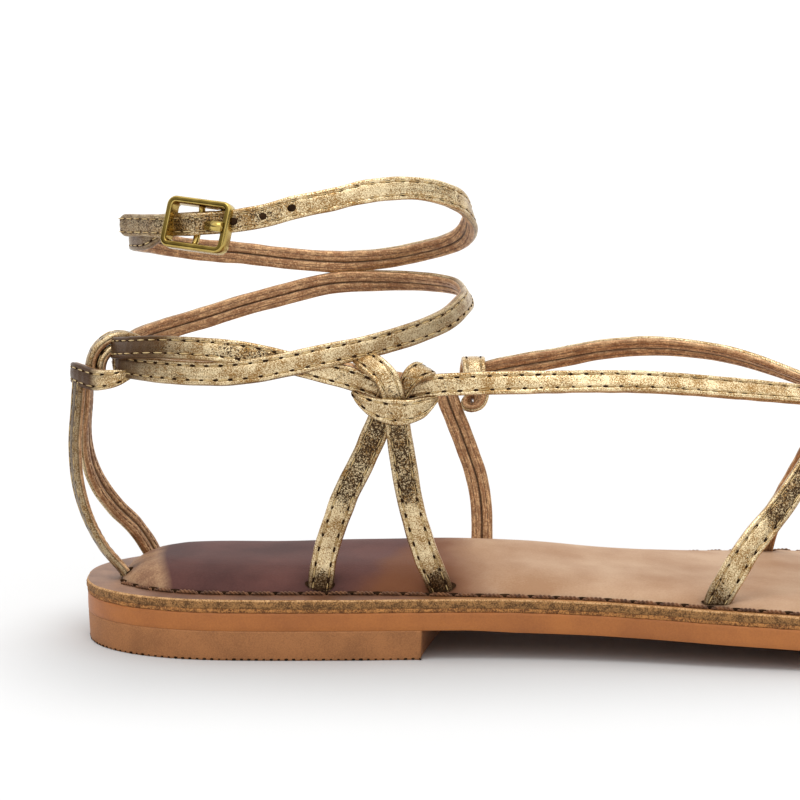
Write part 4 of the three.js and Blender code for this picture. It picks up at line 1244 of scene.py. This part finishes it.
def mottled(tree, light, dark, blotch, grain_size, grain):
    """The mottle group with two hex colours and its sizes in millimetres."""
    return add(tree, "ShaderNodeGroup", {"Light": linear(light), "Dark": linear(dark), "Blotch Size": blotch * MM,
                                         "Grain Size": grain_size * MM, "Grain": grain}, node_tree=MOTTLE).outputs


def new_material(name):
    material = bpy.data.materials.new(name)
    material.use_nodes = True
    tree = material.node_tree
    tree.nodes.clear()
    shader = add(tree, "ShaderNodeBsdfPrincipled")
    add(tree, "ShaderNodeOutputMaterial", {"Surface": shader.outputs[0]})
    return material, tree, shader


def finish(tree, shader, linked, **values):
    """Links sockets to the shader, and sets the values that are the same all over."""
    for key, socket in linked.items():
        tree.links.new(socket, shader.inputs[key])
    for key, value in values.items():
        shader.inputs[key.replace("_", " ")].default_value = value


def plain_leather(name, light, dark, roughness, blotch=6.0, grain_size=0.5, grain=0.6, relief=0.05, coat=0.0,
                  metallic=0.0, specular=0.5):
    """Leather or board of two close colours with a fine grain."""
    material, tree, shader = new_material(name)
    tone = mottled(tree, light, dark, blotch, grain_size, grain)
    finish(tree, shader, {"Base Color": tone["Color"], "Normal": bump(tree, tone["Height"], relief)},
           Roughness=roughness, Coat_Weight=coat, Coat_Roughness=0.25, Metallic=metallic,
           Specular_IOR_Level=specular)
    return material


def foil_leather():
    """Gold foil on leather: grained and crackled outside, brown-bronze inside with a dark sewn join down the middle,
    and painted shade that browns the foil and darkens its grooves and folds.
    """
    material, tree, shader = new_material("gold_foil_leather")
    gold = mottled(tree, "#FFE9BC", "#9C743E", 4, 0.26, 2.1)
    lining = mottled(tree, "#E9BE8C", "#A6744E", 2.5, 0.4, 1.8)
    shade, inner = attribute(tree, "shade"), attribute(tree, "inner_face")
    cracks_and_shade = add(tree, "ShaderNodeGroup", {"Amount": attribute(tree, "cracks_and_painted_shade"), "Speck Size": 0.36 * MM,
                                           "Blotch Size": 2.5 * MM}, node_tree=CRACKS_AND_SHADE).outputs
    along = add(tree, "ShaderNodeAttribute", attribute_name="strap_place").outputs["Vector"]
    stretched = add(tree, "ShaderNodeVectorMath", {0: along, 1: (0.35, 3.0, 1.0)}, operation="MULTIPLY")
    folds = noise(tree, stretched.outputs[0], 1.0, 3.0)
    bronze = mix(tree, spread(tree, folds, 0.42, 0.6, 0.75, 0.0), lining["Color"], linear("#8A6344"))
    # painted shade: the shade attribute browns and dulls the gold foil
    colour = mix(tree, shade, gold["Color"], linear("#4E331A"))
    # foil cracks, and painted shade where the crack mask stands in for it
    colour = mix(tree, cracks_and_shade["Crack And Shade"], colour, linear("#3C2812"))
    colour = mix(tree, inner, colour, bronze)
    # the seam's dark line, and painted shade in the side grooves and folds
    colour = mix(tree, attribute(tree, "seam_and_shade"), colour, linear("#24180F"))
    shine, rough = 0.95, 0.25
    for where, dull_shine, dull_rough in ((cracks_and_shade["Crack And Shade"], 0.7, 0.55), (shade, 0.85, 0.45), (inner, 0.6, 0.42)):
        shine = mix_value(tree, where, shine, dull_shine)
        rough = mix_value(tree, where, rough, dull_rough)
    relief = bump(tree, gold["Height"], 0.05)
    relief = bump(tree, cracks_and_shade["Height"], 0.05, 0.6, relief)
    relief = bump(tree, folds, 0.1, 0.6, relief)
    finish(tree, shader, {"Base Color": colour, "Metallic": shine, "Roughness": rough, "Normal": relief})
    return material


def along_part(x):
    """A place along the sandal in millimetres, as the part's own X in metres."""
    return float(place([x, 0, 0])[0])


# Where the insole's colour changes, in millimetres along the sandal
SCUFF_END = 15.2
BROWN_START = 82
TAN_START = 83


def insole_leather():
    """Brown leather: dark and mauve at the heel, tan from the arch to the toe, scuffed at the very back, with painted
    shade where it is pressed in round each slot.
    """
    material, tree, shader = new_material("insole_leather")
    heel = mottled(tree, "#64403A", "#4C302D", 14, 0.45, 0.3)
    tan = mottled(tree, "#C0A083", "#A47E5F", 16, 0.45, 0.35)
    worn = mottled(tree, "#A98666", "#7E5A44", 5, 0.4, 0.9)
    front, back, tan_from = along_part(BROWN_START), along_part(SCUFF_END), along_part(TAN_START)
    where = object_place(tree)
    parts = split(tree, where)
    sway = calc(tree, "MULTIPLY", noise(tree, where, 60.0, 3.0), 0.014)
    along = calc(tree, "ADD", parts["X"], sway)
    slanted = calc(tree, "ADD", along, calc(tree, "MULTIPLY", parts["Y"], -0.42))
    brown = spread(tree, slanted, front - 0.008, front + 0.002, curve="SMOOTHERSTEP")
    tan_full = calc(tree, "MULTIPLY_ADD", parts["Y"], -0.4, tan_from + 0.013)
    tan_full = calc(tree, "MAXIMUM", tan_full, tan_from + 0.005)
    fade = spread(tree, along, tan_from, tan_full, curve="SMOOTHERSTEP")
    curve = calc(tree, "MULTIPLY_ADD", calc(tree, "POWER", parts["Y"], 2.0), -6.0, parts["X"])
    scuff = spread(tree, curve, back - 0.001, back + 0.0015, 1.0, 0.0)
    # painted shade in the leather pressed in round each slot
    pressed = calc(tree, "MULTIPLY", attribute(tree, "pressed"), 0.75)
    colour = mix(tree, brown, heel["Color"], linear("#74482F"))
    colour = mix(tree, fade, colour, tan["Color"])
    colour = mix(tree, scuff, colour, worn["Color"])
    colour = mix(tree, pressed, colour, linear("#2C1B12"))
    finish(tree, shader, {"Base Color": colour, "Normal": bump(tree, tan["Height"], 0.09, 0.8)},
           Roughness=0.6, Specular_IOR_Level=0.1)
    return material


def rim_leather():
    """The footbed's flat rim: worn at the very back, dark beside the heel, tan from the waist."""
    material, tree, shader = new_material("rim_leather")
    worn = mottled(tree, "#9E7A62", "#7C5C4A", 7, 0.4, 0.5)
    heel = mottled(tree, "#7A5138", "#5E3E2B", 9, 0.4, 0.5)
    waist = mottled(tree, "#BC8654", "#9E6C3E", 9, 0.4, 0.4)
    parts = split(tree, object_place(tree))
    colour = worn["Color"]
    for begin, reach, next_colour in ((11.5, 6.5, heel["Color"]), (70, 22, waist["Color"])):
        low = along_part(begin)
        colour = mix(tree, spread(tree, parts["X"], low, low + reach * MM), colour, next_colour)
    finish(tree, shader, {"Base Color": colour, "Normal": bump(tree, heel["Height"], 0.04, 0.5)},
           Roughness=0.55, Specular_IOR_Level=0.25)
    return material


def raw_edge(name, light, dark):
    """Cut suede: short fibres in olive tan and orange."""
    material, tree, shader = new_material(name)
    fibre = mottled(tree, light, dark, 1.4, 0.3, 1.8)
    finish(tree, shader, {"Base Color": fibre["Color"], "Normal": bump(tree, fibre["Height"], 0.3)},
           Roughness=0.95)
    return material


def brass(name, light, dark):
    material, tree, shader = new_material(name)
    tone = mottled(tree, light, dark, 3, 0.4, 0.15)
    finish(tree, shader, {"Base Color": tone["Color"], "Normal": bump(tree, tone["Height"], 0.01, 0.3)},
           Metallic=1.0, Roughness=0.2)
    return material


def floor_with_painted_shadow():
    """White card with a painted shadow round the sandal, and painted lighter far from it."""
    material, tree, shader = new_material("floor_with_painted_shadow")
    parts = split(tree, object_place(tree))
    behind = calc(tree, "MULTIPLY_ADD", parts["X"], -1.6, -0.16)
    ahead = calc(tree, "MULTIPLY_ADD", parts["X"], 0.35, 0.03)
    along = calc(tree, "MAXIMUM", calc(tree, "MAXIMUM", behind, ahead), 0.0)
    across = calc(tree, "ADD", parts["Y"], 0.02)
    flat = add(tree, "ShaderNodeCombineXYZ", {"X": along, "Y": across}).outputs[0]
    away = add(tree, "ShaderNodeVectorMath", {0: flat}, operation="LENGTH").outputs["Value"]
    # painted shadow: the card is darker near the sandal, most in front of the heel
    shadow_albedo = spread(tree, away, 0.015, 0.08, 0.54, 0.71, curve="SMOOTHSTEP")
    # painted light: the card is lighter far from the sandal
    far = spread(tree, away, 0.12, 0.6, 0.0, 0.16)
    finish(tree, shader, {"Base Color": calc(tree, "ADD", shadow_albedo, far)}, Roughness=1.0, Specular_IOR_Level=0.0)
    return material


FOIL = foil_leather()
INSOLE = insole_leather()
RIM = rim_leather()
RAW = raw_edge("raw_suede_edge", "#AE7E4A", "#5E3F20")
RAW_TOP = raw_edge("raw_suede_corner", "#D8AA76", "#96693A")
BRASS = brass("polished_brass", "#CDB368", "#A68C48")
# the same brass made darker as painted shade and reflection, for the ring's front face
BRASS_SHADED_FRONT = brass("brass_front_painted_shade", "#7E6A32", "#5C4A20")
BOARD = plain_leather("fibre_board", "#C88A4C", "#6C4220", 0.9, blotch=1.8, grain_size=0.35, grain=1.8, relief=0.3)
OUTSOLE = plain_leather("outsole_leather", "#B06A2C", "#9C5B25", 0.55, blotch=10, grain_size=0.4, grain=0.7,
                        relief=0.04, coat=0.08)
STACK = plain_leather("heel_stack", "#AA7040", "#8E5C33", 0.7, blotch=8, grain_size=0.28, grain=1.3, relief=0.06)
THREAD = plain_leather("brown_thread", "#8C5E3A", "#482C1B", 0.7, blotch=2, grain_size=0.2, grain=0.9, relief=0.05)
PALE_THREAD = plain_leather("gold_thread", "#D9C08A", "#A88552", 0.5, blotch=2, grain_size=0.2, grain=0.8,
                            relief=0.05, metallic=0.3)
BRONZE_THREAD = plain_leather("bronze_thread", "#8C6444", "#5C4029", 0.6, blotch=2, grain_size=0.2, grain=0.8,
                              relief=0.05)
# dark marks painted as the shade inside needle holes, punched holes, thread holes, heel notches and strap slots
HOLE_SHADE = plain_leather("hole_shade", "#3A281A", "#20150E", 1.0, blotch=2, grain_size=0.3, relief=0.02, specular=0.0)
FLOOR = floor_with_painted_shadow()


def dress(piece, slot, *materials):
    """Ties a piece to the part's one body, and puts any materials on it; the slot is not used."""
    if materials:
        piece.data.materials.clear()
    for material in materials:
        piece.data.materials.append(material)
    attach(piece, "root")
    return piece


def paint_faces(piece, test):
    """Gives each face the material whose number test(centre in millimetres, normal) returns."""
    for face in piece.data.polygons:
        centre = np.array(face.center) / MM + BOX_MIDDLE
        face.material_index = test(centre, face.normal)


# Sole
def build_outsole(loop):
    def wobble(share):
        return ripple(loop.arc, "outsole", OUTSOLE_WAVES)

    piece = sole_layer("outsole_leather_layer", loop, lambda x: sole_under(x) + seam_lift(x),
                       lambda x: outsole_top(x) + SEAM_LIFT, OUTSOLE_WALL, wobble)
    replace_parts(dress(piece, "outsole_leather", OUTSOLE), "outsole")


def build_midsole(loop):
    def wobble(share):
        return ripple(loop.arc, f"board{share}", BOARD_WAVES)

    piece = sole_layer("midsole_board_layer", loop, lambda x: outsole_top(x) + SEAM_LIFT + 0.02,
                       lambda x: midsole_top(x) + 0.2, MIDSOLE_WALL, wobble)
    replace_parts(dress(piece, "midsole_board", BOARD), "midsole")


def build_footbed(loop):
    def wobble(share):
        soft = ripple(loop.arc, "footbed", FOOTBED_WAVES)
        return soft + ripple(loop.arc, f"fibre{share}", FIBRE_WAVES) * (share < 0.8)

    piece = sole_layer("footbed_leather_layer", loop, lambda x: midsole_top(x) + 0.1, footbed_top, FOOTBED_WALL,
                       wobble)
    dress(piece, "footbed_leather", RIM, RAW, RAW_TOP)

    def which(centre, normal):
        height = (centre[2] - midsole_top(centre[0])) / (FOOTBED_THICKNESS + FIT)
        if normal.z > 0.95 and height > 0.5:
            return 0
        return 2 if height > 0.98 else 1

    paint_faces(piece, which)
    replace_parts(piece, "footbed")


def heel_outline(inset):
    """The heel lift's outline: outer side from the breast round the back to the inner side, then the breast."""
    turn = np.linspace(0, math.pi / 2, 48)
    back = HEEL_ROUND * (1 - np.cos(turn))
    outer = np.concatenate([np.linspace(HEEL_LENGTH, HEEL_ROUND, 42)[:-1], back[::-1]])
    inner = np.concatenate([back[1:], np.linspace(HEEL_ROUND, HEEL_LENGTH + BREAST_SLANT, 46)[1:]])
    sides = np.concatenate([np.stack([outer - heel_bulge(outer), sole_edge(outer, -1)], 1),
                            np.stack([inner - heel_bulge(inner), sole_edge(inner, 1)], 1)])
    start, end = sides[-1], sides[0]
    bend = np.array([HEEL_LENGTH + BREAST_SLANT / 2 - BREAST_HOLLOW, (start[1] + end[1]) / 2])
    t = np.linspace(0, 1, 40)[1:-1, None]
    breast = start * (1 - t) ** 2 + 2 * bend * t * (1 - t) + end * t ** 2
    points = np.concatenate([sides, breast])
    tangent = unit(np.roll(points, -1, 0) - np.roll(points, 1, 0))
    inward = np.stack([tangent[:, 1], -tangent[:, 0]], 1)
    return points + inward * inset, len(sides)


def build_heel():
    rings = []
    for inset, z in HEEL_WALL:
        flat, _ = heel_outline(inset)
        rings.append(np.column_stack([flat, np.full(len(flat), z)]))
    count = len(rings[0])
    faces = [face[::-1] for face in ring_faces(len(rings), count)]
    faces.append(tuple(range(count)))
    faces.append(tuple(reversed([(len(rings) - 1) * count + k for k in range(count)])))
    piece = mesh_object("heel_lift_block", np.concatenate(rings), faces, weld=0)

    def flatten(shape):
        flats = [face for face in shape.faces if len(face.verts) > 4]
        for face in flats:
            face.smooth = False
        bmesh.ops.triangulate(shape, faces=flats)

    reshape(piece, flatten)
    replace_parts(dress(piece, "heel_stack", STACK), "heel_lift")


def build_insole(surface):
    """The padded insole: crowned, rolled at its edge and pulled down at every stitch."""
    loop = surface.loop
    edge = surface.edge
    radius = np.linalg.norm(loop.spine - edge, axis=1)
    rings = []
    stitched = 0.5 + 0.5 * np.cos(2 * math.pi * length_so_far(edge) / THREAD_PITCH)

    def ring(distance):
        t = np.clip(distance / radius, 0, 1)[:, None]
        flat = edge + (loop.spine - edge) * t
        roll = np.sqrt(1 - (1 - np.clip(distance / PAD_ROLL, 0, 1)) ** 2)
        pull = -THREAD_PULL * stitched * np.exp(-((distance - PULL_PLACE) / PULL_REACH) ** 2)
        wave = ripple(flat[:, 0], "pad", PAD_WAVES) * np.clip(distance / 6, 0, 1)
        z = surface.height(flat[:, 0], flat[:, 1], roll) + 0.02 + pull * roll + wave
        rings.append(np.column_stack([flat, z]))

    for distance in PAD_RINGS:
        ring(np.minimum(distance, radius * 0.9))
    last = PAD_RINGS[-1]
    for t in np.linspace(0.2, 1, 18):
        ring(np.maximum(last + (radius - last) * t, last) if t < 1 else radius)
    count = len(loop.x)
    under = []
    for t in (1.0, 0.7, 0.4, 0.1):
        flat = edge + (loop.spine - edge) * t
        under.append(np.column_stack([flat, footbed_top(flat[:, 0]) + 0.01]))
    rows = under + rings
    piece = mesh_object("padded_insole", np.concatenate(rows), ring_faces(len(rows), count))
    spots = np.array([vertex.co for vertex in piece.data.vertices]) / MM + BOX_MIDDLE
    # the press mask, which the insole's material also uses for painted shade round the slots
    layer = piece.data.attributes.new("pressed", "FLOAT", "POINT")
    layer.data.foreach_set("value", surface.pressed(spots[:, 0], spots[:, 1]).astype(np.float32))
    dress(piece, "insole_leather", INSOLE)
    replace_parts(piece, "insole_pad")


# Straps
def build_straps():
    paths = {name: StrapPath(name) for name in ROUTES}
    for piece_name, names in STRAP_PIECES.items():
        piece = strap_mesh(piece_name, [paths[name] for name in names])
        dress(piece, "strap_leather", FOIL)
        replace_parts(piece, "upper")
    return paths


def build_stitches(paths, tree):
    stitch = pill("stitch_shape", STITCH_SIZE)
    hole = pill("hole_shape", NEEDLE_HOLE_SIZE, rings=5)
    small = pill("small_stitch_shape", LINING_STITCH_SIZE)
    reach = STRAP_WIDTH / 2 - STITCH_EDGE
    outer, holes, inner = [], [], []
    for path in paths.values():
        first, last = STITCH_MARGIN, path.length - STITCH_MARGIN
        if last - first < STITCH_PITCH:
            continue
        for side in (-1, 1):
            outer.append(path.line(first + STITCH_PITCH / 2, last, side * reach, STITCH_RISE))
            holes.append(path.line(first, last, side * reach, NEEDLE_HOLE_RISE))
            inner.append(path.line(first, last, side * LINING_ROW, -LINING_RISE))
    pieces = [
        along_lines("strap_stitches", tree, outer, stitch, STITCH_PITCH, PALE_THREAD, seed=3),
        along_lines("strap_needle_holes", tree, holes, hole, STITCH_PITCH, HOLE_SHADE, unevenness=0.15, seed=5),
        along_lines("lining_stitches", tree, inner, small, STITCH_PITCH / 2, BRONZE_THREAD, seed=7),
    ]
    buckled = paths["ankle_strap"]
    front = buckled.at[np.argmax((buckled.at > buckled.length / 2) & (buckled.middle[:, 0] < HOLES_START))]
    row = buckled.line(front - PUNCHED_HOLES * HOLES_PITCH, front, 0, PUNCHED_HOLE_RISE)
    punched = pill("punched_hole_shape", PUNCHED_HOLE_SIZE, sides=12, rings=8)
    pieces.append(along_lines("punched_holes", tree, [row], punched, HOLES_PITCH, HOLE_SHADE, unevenness=0.05, seed=9))
    for piece in pieces:
        dress(piece, "strap_leather")
    for shape in (stitch, hole, small, punched):
        bpy.data.objects.remove(shape)


def build_insole_thread(surface, tree):
    """The thick twisted thread round the insole, with dark marks painted as the shade in its holes and behind it
    between its stitches.
    """
    loop = surface.loop
    edge = surface.edge
    start = np.argmax((loop.x > THREAD_START) & (loop.side < 0))
    end = len(loop.x) - np.argmax((loop.x[::-1] > THREAD_END) & (loop.side[::-1] > 0))
    flat = (edge - THREAD_OUT * loop.inward)[start:end]
    under = (edge - THREAD_HOLE_OUT * loop.inward)[start:end]
    up = np.tile([0.0, 0.0, 1.0], (len(flat), 1))
    line = np.column_stack([flat, footbed_top(flat[:, 0]) + THREAD_UP])
    low = np.column_stack([under, footbed_top(under[:, 0]) + THREAD_HOLE_UP])
    shifted = length_so_far(flat) >= THREAD_PITCH / 2
    stitch = twisted_stitch("thread_shape", THREAD_PITCH, THREAD_STRAND, THREAD_TURNS)
    hole = pill("thread_hole_shape", THREAD_HOLE_SIZE)
    thread = along_lines("insole_thread", tree, [(line[shifted], up[shifted])], stitch, THREAD_PITCH, THREAD, 0.04, 11)
    holes = along_lines("insole_needle_holes", tree, [(low, up)], hole, THREAD_PITCH, HOLE_SHADE, 0.12, 13)
    for piece in (thread, holes):
        dress(piece, "insole_leather")
    for shape in (stitch, hole):
        bpy.data.objects.remove(shape)


def build_heel_notches(tree):
    """Dark marks painted as the shade in the small grooves that the tread's ribs leave in the bottom edge of the heel
    lift.
    """
    flat, sides = heel_outline(0.78)
    flat = flat[:sides]
    tangent = unit(np.gradient(flat, axis=0))
    outward = np.column_stack([-tangent[:, 1], tangent[:, 0], np.full(len(flat), -0.6)])
    line = np.column_stack([flat, np.full(len(flat), 0.3)])
    notch = pill("notch_shape", NOTCH_SIZE)
    piece = along_lines("heel_edge_notches", tree, [(line, outward)], notch, NOTCH_PITCH, HOLE_SHADE, 0.25, 17)
    dress(piece, "heel_stack")
    bpy.data.objects.remove(notch)


def build_slot_marks(surface):
    """Dark marks painted as the shade in the slots that the straps come out of, on the leather pressed in round them.
    """
    points, faces = [], []
    sides = 28
    for name in SLOTS:
        x, y, turn = slot_place(name)
        angle = math.radians(turn)
        face = np.array([math.cos(angle), math.sin(angle)])
        side = np.array([-face[1], face[0]])
        start = len(points)
        for share in (0.0, 0.5, 1.0):
            for k in range(sides):
                t = 2 * math.pi * k / sides
                reach = side * SLOT_LENGTH * math.cos(t) + face * SLOT_WIDTH * math.sin(t)
                flat = np.array([x, y]) + share * reach
                z = float(surface.height(flat[0], flat[1])) + 0.08
                points.append((flat[0], flat[1], z))
        faces += ring_faces(3, sides, start, turned=True)
    dress(mesh_object("slot_shadows", points, faces), "insole_leather", HOLE_SHADE)


# Buckle
def buckle_matrix():
    along, across, up, heading, lift, tilt = RING_POSE
    outward = Vector(facing(heading, lift))
    side = Vector((0, 0, 1)).cross(outward).normalized()
    basis = Matrix((side, outward.cross(side), outward)).transposed().to_4x4()
    origin = Vector((along * SOLE_LENGTH, across * UPPER_WIDTH, up * UPPER_HEIGHT))
    return Matrix.Translation(origin) @ basis @ Matrix.Rotation(math.radians(tilt), 4, "Z")


def rounded_rectangle(length, height, radius, steps=8):
    """Points of a rounded rectangle with their outward directions."""
    points, outward = [], []
    for k, (sx, sy) in enumerate(((1, 1), (-1, 1), (-1, -1), (1, -1))):
        for i in range(steps + 1):
            angle = math.pi / 2 * (k + i / steps)
            direction = (math.cos(angle), math.sin(angle))
            points.append((sx * (length / 2 - radius) + radius * direction[0],
                           sy * (height / 2 - radius) + radius * direction[1]))
            outward.append(direction)
    return points, outward


def build_buckle():
    """The ring, swept round its outline, and the bar across its middle."""
    matrix = buckle_matrix()
    outline, outward = rounded_rectangle(RING_LENGTH, RING_HEIGHT, BUCKLE_CORNER)
    points = []
    for (u, v), (a, b) in zip(outline, outward):
        points += [tuple(matrix @ Vector((u + RING_SHIFT + a * r, v + b * r, RING_FRONT + w)))
                   for r, w in RING_SECTION]
    count, total = len(RING_SECTION), len(outline)
    faces = ring_faces(total + 1, count)
    faces = [tuple(k % (total * count) for k in face) for face in faces]
    ring_piece = mesh_object("brass_buckle_frame", points, faces, weld=0)
    points = []
    sides, steps = 14, 12
    half = RING_HEIGHT / 2 - 0.5
    for i in range(steps + 1):
        v = -half + 2 * half * i / steps
        lift = BAR_BEND * abs(v / half) ** 6
        for k in range(sides):
            angle = 2 * math.pi * k / sides
            spot = Vector((BAR_SHIFT + BAR_RADIUS * math.cos(angle), v, BAR_RADIUS * math.sin(angle) + lift))
            points.append(tuple(matrix @ spot))
    faces = ring_faces(steps + 1, sides)
    faces += [tuple(range(sides))[::-1], tuple(steps * sides + k for k in range(sides))]
    bar_piece = mesh_object("brass_centre_bar", points, faces, weld=0)
    for piece in (ring_piece, bar_piece):
        reshape(piece, lambda shape: None)
        dress(piece, "buckle_brass", BRASS, BRASS_SHADED_FRONT)
        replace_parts(piece, "buckle_frame")
    # painted shade: the ring's front face gets the darker brass
    for number, face in enumerate(ring_piece.data.polygons):
        face.material_index = 1 if number % count == RING_FRONT_ROW else 0


def build_prong():
    """The prong: a bar out of the strap's hole with a square block where it rests on the frame. Its rows are the
    place along the strap, the height, half the width and half the thickness."""
    matrix = buckle_matrix()
    half = BUCKLE_LENGTH / 2
    end = RING_LENGTH / 2 + RING_SHIFT
    rows = [(0.14 * half, 0.1, 0.8, 0.5), (0.42 * half, 1.9, 0.85, 0.5), (0.5 * half, 2.6, 0.9, 0.5),
            (end - 3.6, RING_FRONT + 0.1, 1.0, 0.5), (end - 3.3, RING_FRONT + 0.38, 1.1, 0.6),
            (end - 0.9, RING_FRONT + 0.42, 1.1, 0.55), (end - 0.7, RING_FRONT + 0.32, 1.0, 0.4)]
    points = []
    for u, w, wide, thick in rows:
        for v, h in ((-wide, -thick), (wide, -thick), (wide, thick), (-wide, thick)):
            points.append(tuple(matrix @ Vector((u, v, w + h))))
    faces = ring_faces(len(rows), 4)
    faces += [(3, 2, 1, 0), tuple(4 * (len(rows) - 1) + k for k in range(4))]
    piece = mesh_object("brass_prong", points, faces, weld=0)
    reshape(piece, lambda shape: bmesh.ops.bevel(shape, geom=list(shape.edges), offset=PRONG_BEVEL * MM, segments=2,
                                                 affect="EDGES"))
    dress(piece, "buckle_brass", BRASS)
    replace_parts(piece, "buckle_prong")


# Stage
def build_stage():
    mesh = bpy.data.meshes.new("floor")
    far = FLOOR_REACH
    mesh.from_pydata([(-far, -far, 0), (far, -far, 0), (far, far, 0), (-far, far, 0)], [], [(0, 1, 2, 3)])
    floor = new_object("floor", mesh)
    floor.data.materials.append(FLOOR)
    world = bpy.data.worlds.new("studio")
    bpy.context.scene.world = world
    world.use_nodes = True
    tree = world.node_tree
    tree.nodes.clear()
    parts = split(tree, add(tree, "ShaderNodeTexCoord").outputs["Generated"])
    front = spread(tree, parts["Y"], -0.9, -0.4, 0.75, 0.08, curve="SMOOTHSTEP")
    back = spread(tree, parts["Y"], 0.2, 0.7, 0.0, 1.1, curve="SMOOTHSTEP")
    up = spread(tree, parts["Z"], 0.1, 0.6, curve="SMOOTHSTEP")
    level = mix_value(tree, up, calc(tree, "ADD", front, back), 1.35)
    shade = add(tree, "ShaderNodeBackground", {"Color": (1, 1, 1, 1), "Strength": level})
    add(tree, "ShaderNodeOutputWorld", {"Surface": shade.outputs[0]})


def aim(name, data, spot, target):
    """An object for a light or a camera, at spot and looking at target."""
    made = new_object(name, data)
    made.location = spot
    made.rotation_euler = (target - spot).to_track_quat("-Z", "Y").to_euler()
    return made


def build_light():
    data = bpy.data.lights.new("key", "AREA")
    data.shape = "RECTANGLE"
    data.size, data.size_y = LIGHT_SIZE
    data.energy = LIGHT_ENERGY
    aim("key", data, Vector(LIGHT_PLACE), Vector(LIGHT_TARGET))


def build_camera():
    data = bpy.data.cameras.new("camera")
    data.lens = CAMERA_LENS
    data.sensor_width = SENSOR_WIDTH
    data.clip_start = 0.01
    spot, target = Vector(place(CAMERA_PLACE)), Vector(place(CAMERA_TARGET))
    bpy.context.scene.camera = aim("camera", data, spot, target)
    bpy.context.scene.view_settings.view_transform = "Standard"
    bpy.context.scene.view_settings.look = "None"


def build():
    loop = Loop()
    surface = PadSurface(loop)
    tree = repeat_tree()
    build_heel()
    build_outsole(loop)
    build_midsole(loop)
    build_footbed(loop)
    build_insole(surface)
    paths = build_straps()
    build_stitches(paths, tree)
    build_insole_thread(surface, tree)
    build_heel_notches(tree)
    build_slot_marks(surface)
    build_buckle()
    build_prong()
    build_stage()
    build_light()
    build_camera()


build()
